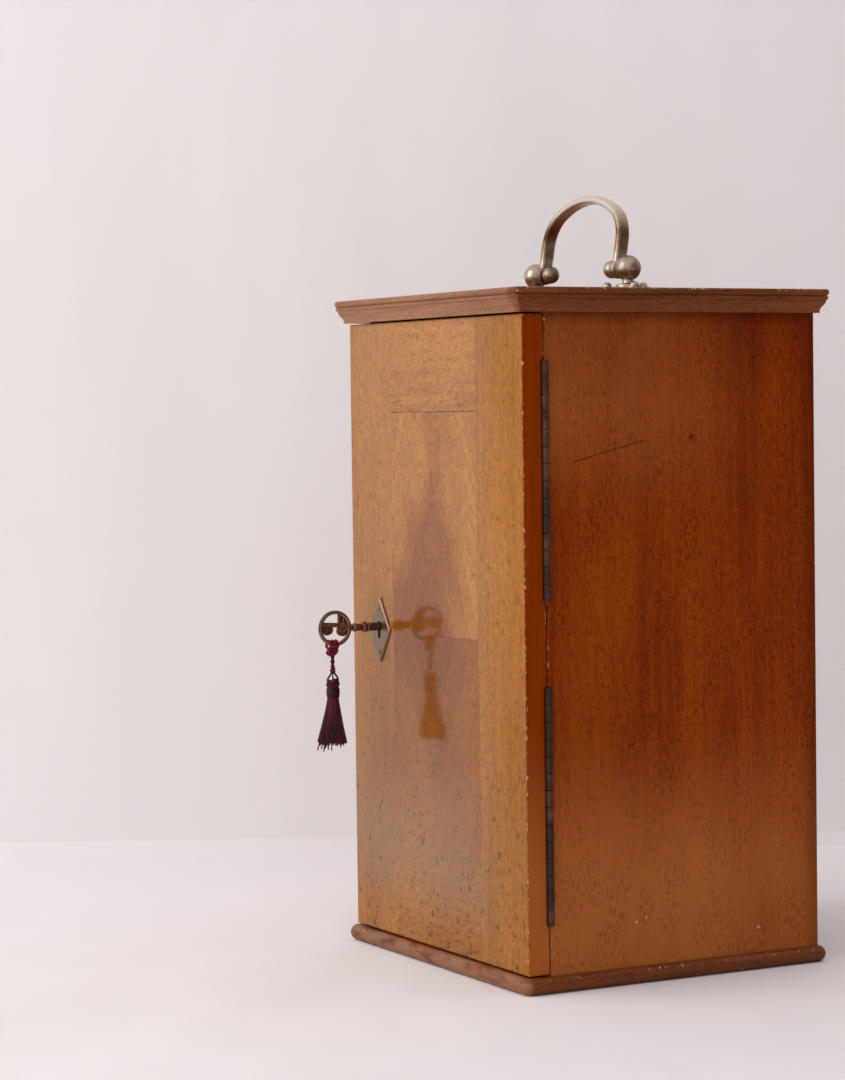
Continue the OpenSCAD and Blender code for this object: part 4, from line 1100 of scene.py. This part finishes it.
class CASE_OT_carcass(bpy.types.Operator):
    """Base board, side panels, back and moulded top"""
    bl_idname = "case.carcass"
    bl_label = "Carcass"

    def execute(self, context):
        wear = context.scene.case_sizes.edge_wear * 1000
        thick = BASE_HIGH.z
        moulded("base_board", arc(0, thick / 2, thick / 2, -90, 90, 14), 5.5, wear * 1.6, "base")
        low, high = box_mm("top_board")
        tall = high.z - low.z
        nose, foot, bead, quirk_z = 7, 2.6, 1.15, tall - 3.6
        bead_z = quirk_z - bead
        edge = [(foot, 0), (foot, 0.9)]
        edge += [(foot + (nose - foot - 1.6) * (1 - math.cos(math.pi * i / 10)) / 2,
                  1 + (bead_z - bead - 1) * i / 10) for i in range(1, 11)]
        edge += arc(nose - 0.4 - bead, bead_z, bead, -80, 84, 8)
        edge += [(nose - out, tall - down) for out, down in (
            (1.0, 3.6), (0.95, 3.3), (0.6, 3.15), (0.25, 3.05), (0, 2.75))]
        edge += arc(nose - 1.6, tall - 1.6, 1.6, 8, 90, 7)
        moulded("top_board", edge, 3, wear, "top")
        board("side_panel_right", "side_right")
        board("side_panel_left", "side_left")
        board("back_panel", "back", outer=0.0003)
        return {"FINISHED"}


class CASE_OT_door(bpy.types.Operator):
    """Stiles, rails and the two halves of the figured panel"""
    bl_idname = "case.door"
    bl_label = "Door"

    def execute(self, context):
        for node in DOOR_WOOD:
            board(node, node.split("_")[1], DOOR_BOX)
        return {"FINISHED"}


class CASE_OT_fittings(bpy.types.Operator):
    """Rails, stop and bar for the microscope's foot, and the rack for lens cans"""
    bl_idname = "case.fittings"
    bl_label = "Fittings inside"

    def execute(self, context):
        for node in ("foot_rail_left", "foot_rail_right", "foot_stop", "foot_bar", "can_rack"):
            board(node, "inside", outer=0.0006, inner=0.0004)
        return {"FINISHED"}


# Metalwork

KNUCKLES = 14
BARREL_R = 2.0
LEAF_T = 1.0


class CASE_OT_hinges(bpy.types.Operator):
    """Strip hinges with round knuckles, their pins and their slotted screws"""
    bl_idname = "case.hinges"
    bl_label = "Hinges"

    def execute(self, context):
        for level in ("lower", "upper"):
            for owner, first in (("case", 0), ("door", 1)):
                self.leaf(f"hinge_leaf_{owner}_{level}", first)
            repaint(f"hinge_pin_{level}", "hinge")
        self.screws("case", -1, box_mm("side_panel_right")[0].y + 0.02)
        self.screws("door", 1, DOOR_HIGH.y - 0.02)
        return {"FINISHED"}

    def leaf(self, node, first):
        """Flat leaf with every second knuckle of the barrel"""
        left = box_mm(node)[0].x
        low, high = box_mm(node.replace("door", "case"), node.replace("case", "door"))
        pitch = (high.z - low.z) / KNUCKLES
        axis_x, axis_y = high.x - BARREL_R, (low.y + high.y) / 2
        leaf_x = axis_x - BARREL_R - 0.3
        leaf_y = axis_y + (-0.7 if first else 0.7)
        bm = bmesh.new()
        add_block(bm, ((left + leaf_x) / 2, leaf_y, (low.z + high.z) / 2),
                  (leaf_x - left, LEAF_T, high.z - low.z))
        round_off = 0.22
        inner = BARREL_R - round_off
        for i in range(first, KNUCKLES, 2):
            bottom, top = low.z + i * pitch + 0.15, low.z + (i + 1) * pitch - 0.15
            profile = [(0, bottom), (inner, bottom), *arc(inner, bottom + round_off, round_off, -60, 0, 3),
                       *arc(inner, top - round_off, round_off, 0, 60, 3), (inner, top), (0, top)]
            lathe(bm, profile, Matrix.Translation((axis_x, axis_y, 0)), 28)
            add_block(bm, ((leaf_x + axis_x) / 2, leaf_y, (bottom + top) / 2),
                      (axis_x - leaf_x + 0.1, LEAF_T, top - bottom))
        piece(node + "_strip", bm, "hinge", [node])

    def screws(self, owner, way, y):
        """Countersunk screws, flush with the face of their leaf"""
        count, inset = 5, 8.3
        parts = []
        random.seed(way + 5)
        for level in ("lower", "upper"):
            low, high = box_mm(f"hinge_leaf_{owner}_{level}")
            for i in range(count):
                at = (high.x - inset, y, low.z + (high.z - low.z) * (i + 0.5) / count)
                place = place_at(at, (0, way, 0), random.uniform(0, 180))
                parts.append(slotted_head(place, 2.15, 0, 0.95, 0.5, 0.4))
        node = "hinge_screws_" + owner
        piece(node + "_heads", gather(parts), "hinge", [node])


class CASE_OT_lock(bpy.types.Operator):
    """Cupboard lock, its strike plate and their screws"""
    bl_idname = "case.lock"
    bl_label = "Lock"

    def execute(self, context):
        for node in ("lock_plate", "lock_cap", "strike_plate"):
            plate(node, "brass", "_brass")
        for node in ("lock_bolt", "lock_spring"):
            plate(node, "steel", "_steel")
        for node in ("lock_screws", "strike_screws"):
            repaint(node, "brass")
        return {"FINISHED"}


class CASE_OT_key(bpy.types.Operator):
    """Diamond escutcheon with its pins, and the key with its scrolled bow"""
    bl_idname = "case.key"
    bl_label = "Key and escutcheon"

    def execute(self, context):
        self.escutcheon()
        self.key()
        return {"FINISHED"}

    def escutcheon(self):
        """Bevelled diamond plate, pierced by the keyhole"""
        low, high = box_mm("escutcheon")
        middle = (low + high) / 2
        half_w, half_h = (high.x - low.x) / 2, (high.z - low.z) / 2
        corners = [(half_w, 0), (0, half_h), (-half_w, 0), (0, -half_h)]
        outline = []
        for (x, z), (nx, nz) in zip(corners, corners[1:] + corners[:1]):
            for t in [0.015 + 0.97 * k / 9 for k in range(10)]:
                outline.append((x + (nx - x) * t, z + (nz - z) * t))
        levels = ((1.0, high.y), (1.0, low.y + 0.7), (0.975, low.y + 0.35), (0.93, low.y + 0.05),
                  (0.9, low.y))
        bm, hole, slot = bmesh.new(), bmesh.new(), bmesh.new()
        skin(bm, [[Vector((middle.x + share * x, y, middle.z + share * z)) for x, z in outline]
                  for share, y in levels])
        lathe(hole, [(0, -3), (3.0, -3), (3.0, 3), (0, 3)], place_at((middle.x, low.y, KEY_Z), (0, 1, 0)), 40)
        add_block(slot, (middle.x, low.y, KEY_Z - 3.4), (3.0, 6, 6.8))
        piece("escutcheon_diamond", carved(bm, [hole, slot]), "escutcheon", ["escutcheon"])

        head_r, dome, spread = 1.3, 0.75, 12.2
        turns = [math.radians(a) for a in (20, 40, 60, 75)]
        profile = [(0, -0.4), (head_r, -0.4), (head_r, 0),
                   *[(head_r * math.cos(a), dome * math.sin(a)) for a in turns], (0, dome)]
        heads = bmesh.new()
        for way in (-1, 1):
            lathe(heads, profile, place_at((middle.x, low.y, middle.z + way * spread), (0, -1, 0)), 24)
        piece("escutcheon_pin_heads", heads, "escutcheon", ["escutcheon_pins"])

    def key(self):
        """Key: ring bow with two scrolls, a cross bar, a turned collar, the shank and the bit"""
        low, high = box_mm("key")
        wire, ring_r, bar_up, bar_slope, scroll_r, scroll_step = 1.05, 9.2, 1.85, 0.07, 3.1, 0.8
        bow_y = low.y + ring_r + wire
        across = Vector((1, 0, 0))
        rib = rounded_outline(0.75, 0.6, 0.35)
        bm = bmesh.new()

        def at(y, up, out=0.0):
            return Vector((KEY_X + out, bow_y + y, KEY_Z + up))

        circle = [at(*p) for p in arc(0, 0, ring_r, 0, 360, 72)[:-1]]
        sweep(bm, circle, rounded_outline(wire, wire, 0.7), across, True)
        bar = [at(y, bar_up - bar_slope * y) for y in (-8.8, 0, 8.8)]
        sweep(bm, bar, rounded_outline(0.85, 1.3, 0.4), across)
        disc = [(0, -0.5), (scroll_r, -0.5), (scroll_r, 0.5), (0, 0.5)]
        boss = [(0, -1.0), (0.6, -0.85), (0.9, 0), (0.6, 0.85), (0, 1.0)]
        spiral = []
        for i in range(4):
            spiral += arc(-scroll_step * (i % 2), 0, scroll_r - scroll_step * i, 180 * i, 180 * i + 180,
                          12)[:-1]
        for cy, cz, way in ((4.6, -1.6, 1), (-5, -0.7, -1)):
            lathe(bm, disc, place_at(at(cy, cz), across), 36)
            sweep(bm, [at(cy + way * y, cz + up) for y, up in spiral], rib, across)
            lathe(bm, boss, place_at(at(cy, cz), across), 20)
        web = [(1.9, 0), *arc(0, 0, ring_r, 0, 78, 16)]
        skin(bm, [[at(*p, out) for p in web] for out in (-0.5, 0.5)])
        for cy, cz, start, end in ((8.9, 4.2, 143, 208), (11.5, 3.6, 146, 206)):
            sweep(bm, [at(*p) for p in arc(cy, cz, 6.3, start, end, 16)], rib, across)
        lathe(bm, self.shank(bow_y + ring_r, high.y), place_at((KEY_X, 0, KEY_Z), (0, 1, 0)), 40)
        bit_low, bit_high = (corner.y for corner in box_mm("lock_bolt"))
        add_block(bm, (KEY_X, (bit_low + bit_high) / 2, KEY_Z - 3.15), (2.4, bit_high - bit_low + 0.6, 6.3))
        piece("key_scrolled", bm, "key", ["key"], crease=50)

    def shank(self, neck_y, end_y):
        """Profile of the shank along Y: neck with a small bead, a large bead, a collar, and plain stem"""
        stem_r = 2.35
        beads = arc(1.4, 3.4, 1.2, -65, 60, 8) + arc(1.6, 9.4, 1.6, -70, 50, 12)
        beads += arc(1.75, 11.75, 1, -50, 50, 8)
        profile = [(0, neck_y - 0.8), (1.8, neck_y - 0.8)] + [(r, neck_y + run) for r, run in beads]
        return profile + [(stem_r, neck_y + 12.5), (stem_r, end_y - 0.3), (2.1, end_y), (0, end_y)]


def lobes(side):
    """Directions of the three lobes under one post, in degrees and as vectors"""
    angles = (225, 345, 105) if side > 0 else (315, 195, 75)
    return [(angle, polar(1, math.radians(angle))) for angle in angles]


class CASE_OT_handle(bpy.types.Operator):
    """Ball posts on lobed plates, pivot pins, bail and round-head screws"""
    bl_idname = "case.handle"
    bl_label = "Handle"

    def execute(self, context):
        for side, word in ((-1, "left"), (1, "right")):
            self.post(side, word)
            self.pin(side, word)
        self.bail()
        self.screws()
        return {"FINISHED"}

    def post(self, side, word):
        """Turned ball post, and the three-lobed plate under it"""
        centre = Vector((side * BALL.x, BALL.y, ROOF_Z))
        ball_r, neck_r, up = 7.15, 3.2, BALL.z - ROOF_Z
        neck_angle = -math.degrees(math.acos(neck_r / ball_r))
        profile = [(0, 0), (6.8, 0), (7, 0.3), (7, 3.2), *arc(6.2, 3.4, 0.8, 0, 90, 4),
                   *arc(neck_r + 1.5, 5.7, 1.5, 270, 180, 6),
                   *arc(0, up, ball_r, neck_angle, 90, 28)[:-1], (0, up + ball_r)]
        bm = bmesh.new()
        lathe(bm, profile, Matrix.Translation(centre), 56)
        for angle, way in lobes(side):
            lathe(bm, [(0, 0), (4.3, 0), (4.3, 2.2), (4.05, 2.8), (3.5, 3.0), (0, 3.0)],
                  Matrix.Translation(centre + way * LOBE_OUT), 40)
            add_block(bm, centre + way * 8 + Vector((0, 0, 1.45)), (9, 5.6, 2.9), angle)
        piece(f"handle_post_{word}_turned", bm, "nickel", [f"handle_post_{word}"])

    def pin(self, side, word):
        """Pivot pin with a ball knob on its inner end"""
        knob_x, knob_r = 33.65, 5.0
        profile = [(0, -knob_r), *arc(0, 0, knob_r, -84, 58, 22), (2.6, 4.3), (1.9, 4.4), (1.9, 14), (0, 14)]
        bm = bmesh.new()
        lathe(bm, profile, place_at((side * knob_x, BALL.y, BALL.z), (side, 0, 0)), 40)
        piece(f"handle_pin_{word}_turned", bm, "nickel", [f"handle_pin_{word}"])

    def bail(self):
        """Bail of rounded section bent to a three-centred arch, with a disc eye at each end"""
        radius, rise, leg, shoulder, lean = 40.2, 41.4, 16, 20, math.radians(8.8)
        turn = 90 - 2 * math.degrees(math.atan((rise - leg - shoulder) / (radius - shoulder)))
        crown = shoulder + (radius - shoulder) / math.cos(math.radians(turn))
        back = Vector((0, math.sin(lean), math.cos(lean)))
        centre = Vector((0, BALL.y, BALL.z))
        half = [(radius, 0), (radius, leg / 2), *arc(radius - shoulder, leg, shoulder, 0, turn, 18),
                *arc(0, rise - crown, crown, turn, 90, 14)[1:]]
        both = half + [(-x, up) for x, up in half[-2::-1]]
        bm = bmesh.new()
        sweep(bm, [centre + Vector((x, 0, 0)) + back * up for x, up in both],
              rounded_outline(3.9, 2.25, 1.9), Vector((0, math.cos(lean), -math.sin(lean))))
        eye = [(1.95, -2.25), (4.4, -2.25), (5.1, -1.8), (5.4, -0.8), (5.4, 0.8), (5.1, 1.8), (4.4, 2.25),
               (1.95, 2.25), (1.95, -2.25)]
        for side in (-1, 1):
            lathe(bm, eye, place_at(centre + Vector((side * radius, 0, 0)), (1, 0, 0)), 44)
        piece("handle_bail_bar", bm, "nickel", ["handle_bail"])

    def screws(self):
        """Round-head screws in the lobes"""
        parts = []
        random.seed(3)
        for side in (-1, 1):
            for _, way in lobes(side):
                at = Vector((side * BALL.x, BALL.y, ROOF_Z + 3.0)) + way * LOBE_OUT
                place = place_at(at, (0, 0, 1), random.uniform(0, 180))
                parts.append(slotted_head(place, 2.7, 2.5, 0.3, 0.6, 0.9))
        piece("handle_screw_heads", gather(parts), "nickel", ["handle_screws"])


class CASE_PT_sidebar(bpy.types.Panel):
    bl_idname = "CASE_PT_sidebar"
    bl_label = "Microscope case"
    bl_space_type = "VIEW_3D"
    bl_region_type = "UI"
    bl_category = "Case"

    def draw(self, context):
        for operator in OPERATORS:
            self.layout.operator(operator.bl_idname)
        for group in (context.scene.case_sizes, context.scene.case_colours, context.scene.case_stage):
            for name in group.__annotations__:
                self.layout.prop(group, name)


OPERATORS = (CASE_OT_stage, CASE_OT_tassel, CASE_OT_carcass, CASE_OT_door, CASE_OT_hinges, CASE_OT_lock,
             CASE_OT_key, CASE_OT_handle, CASE_OT_fittings)
GROUPS = {"case_sizes": CaseSizes, "case_colours": CaseColours, "case_stage": CaseStage}


def register():
    for kind in (*GROUPS.values(), *OPERATORS, CASE_PT_sidebar):
        bpy.utils.register_class(kind)
    for name, kind in GROUPS.items():
        setattr(bpy.types.Scene, name, PointerProperty(type=kind))


def unregister():
    for name in GROUPS:
        delattr(bpy.types.Scene, name)
    for kind in (CASE_PT_sidebar, *reversed(OPERATORS), *GROUPS.values()):
        bpy.utils.unregister_class(kind)


def main():
    """Dress the frame piece by piece"""
    register()
    FINISH.update(finishes())
    for operator in OPERATORS:
        group, name = operator.bl_idname.split(".")
        getattr(getattr(bpy.ops, group), name)()


if __name__ == "__main__":
    main()
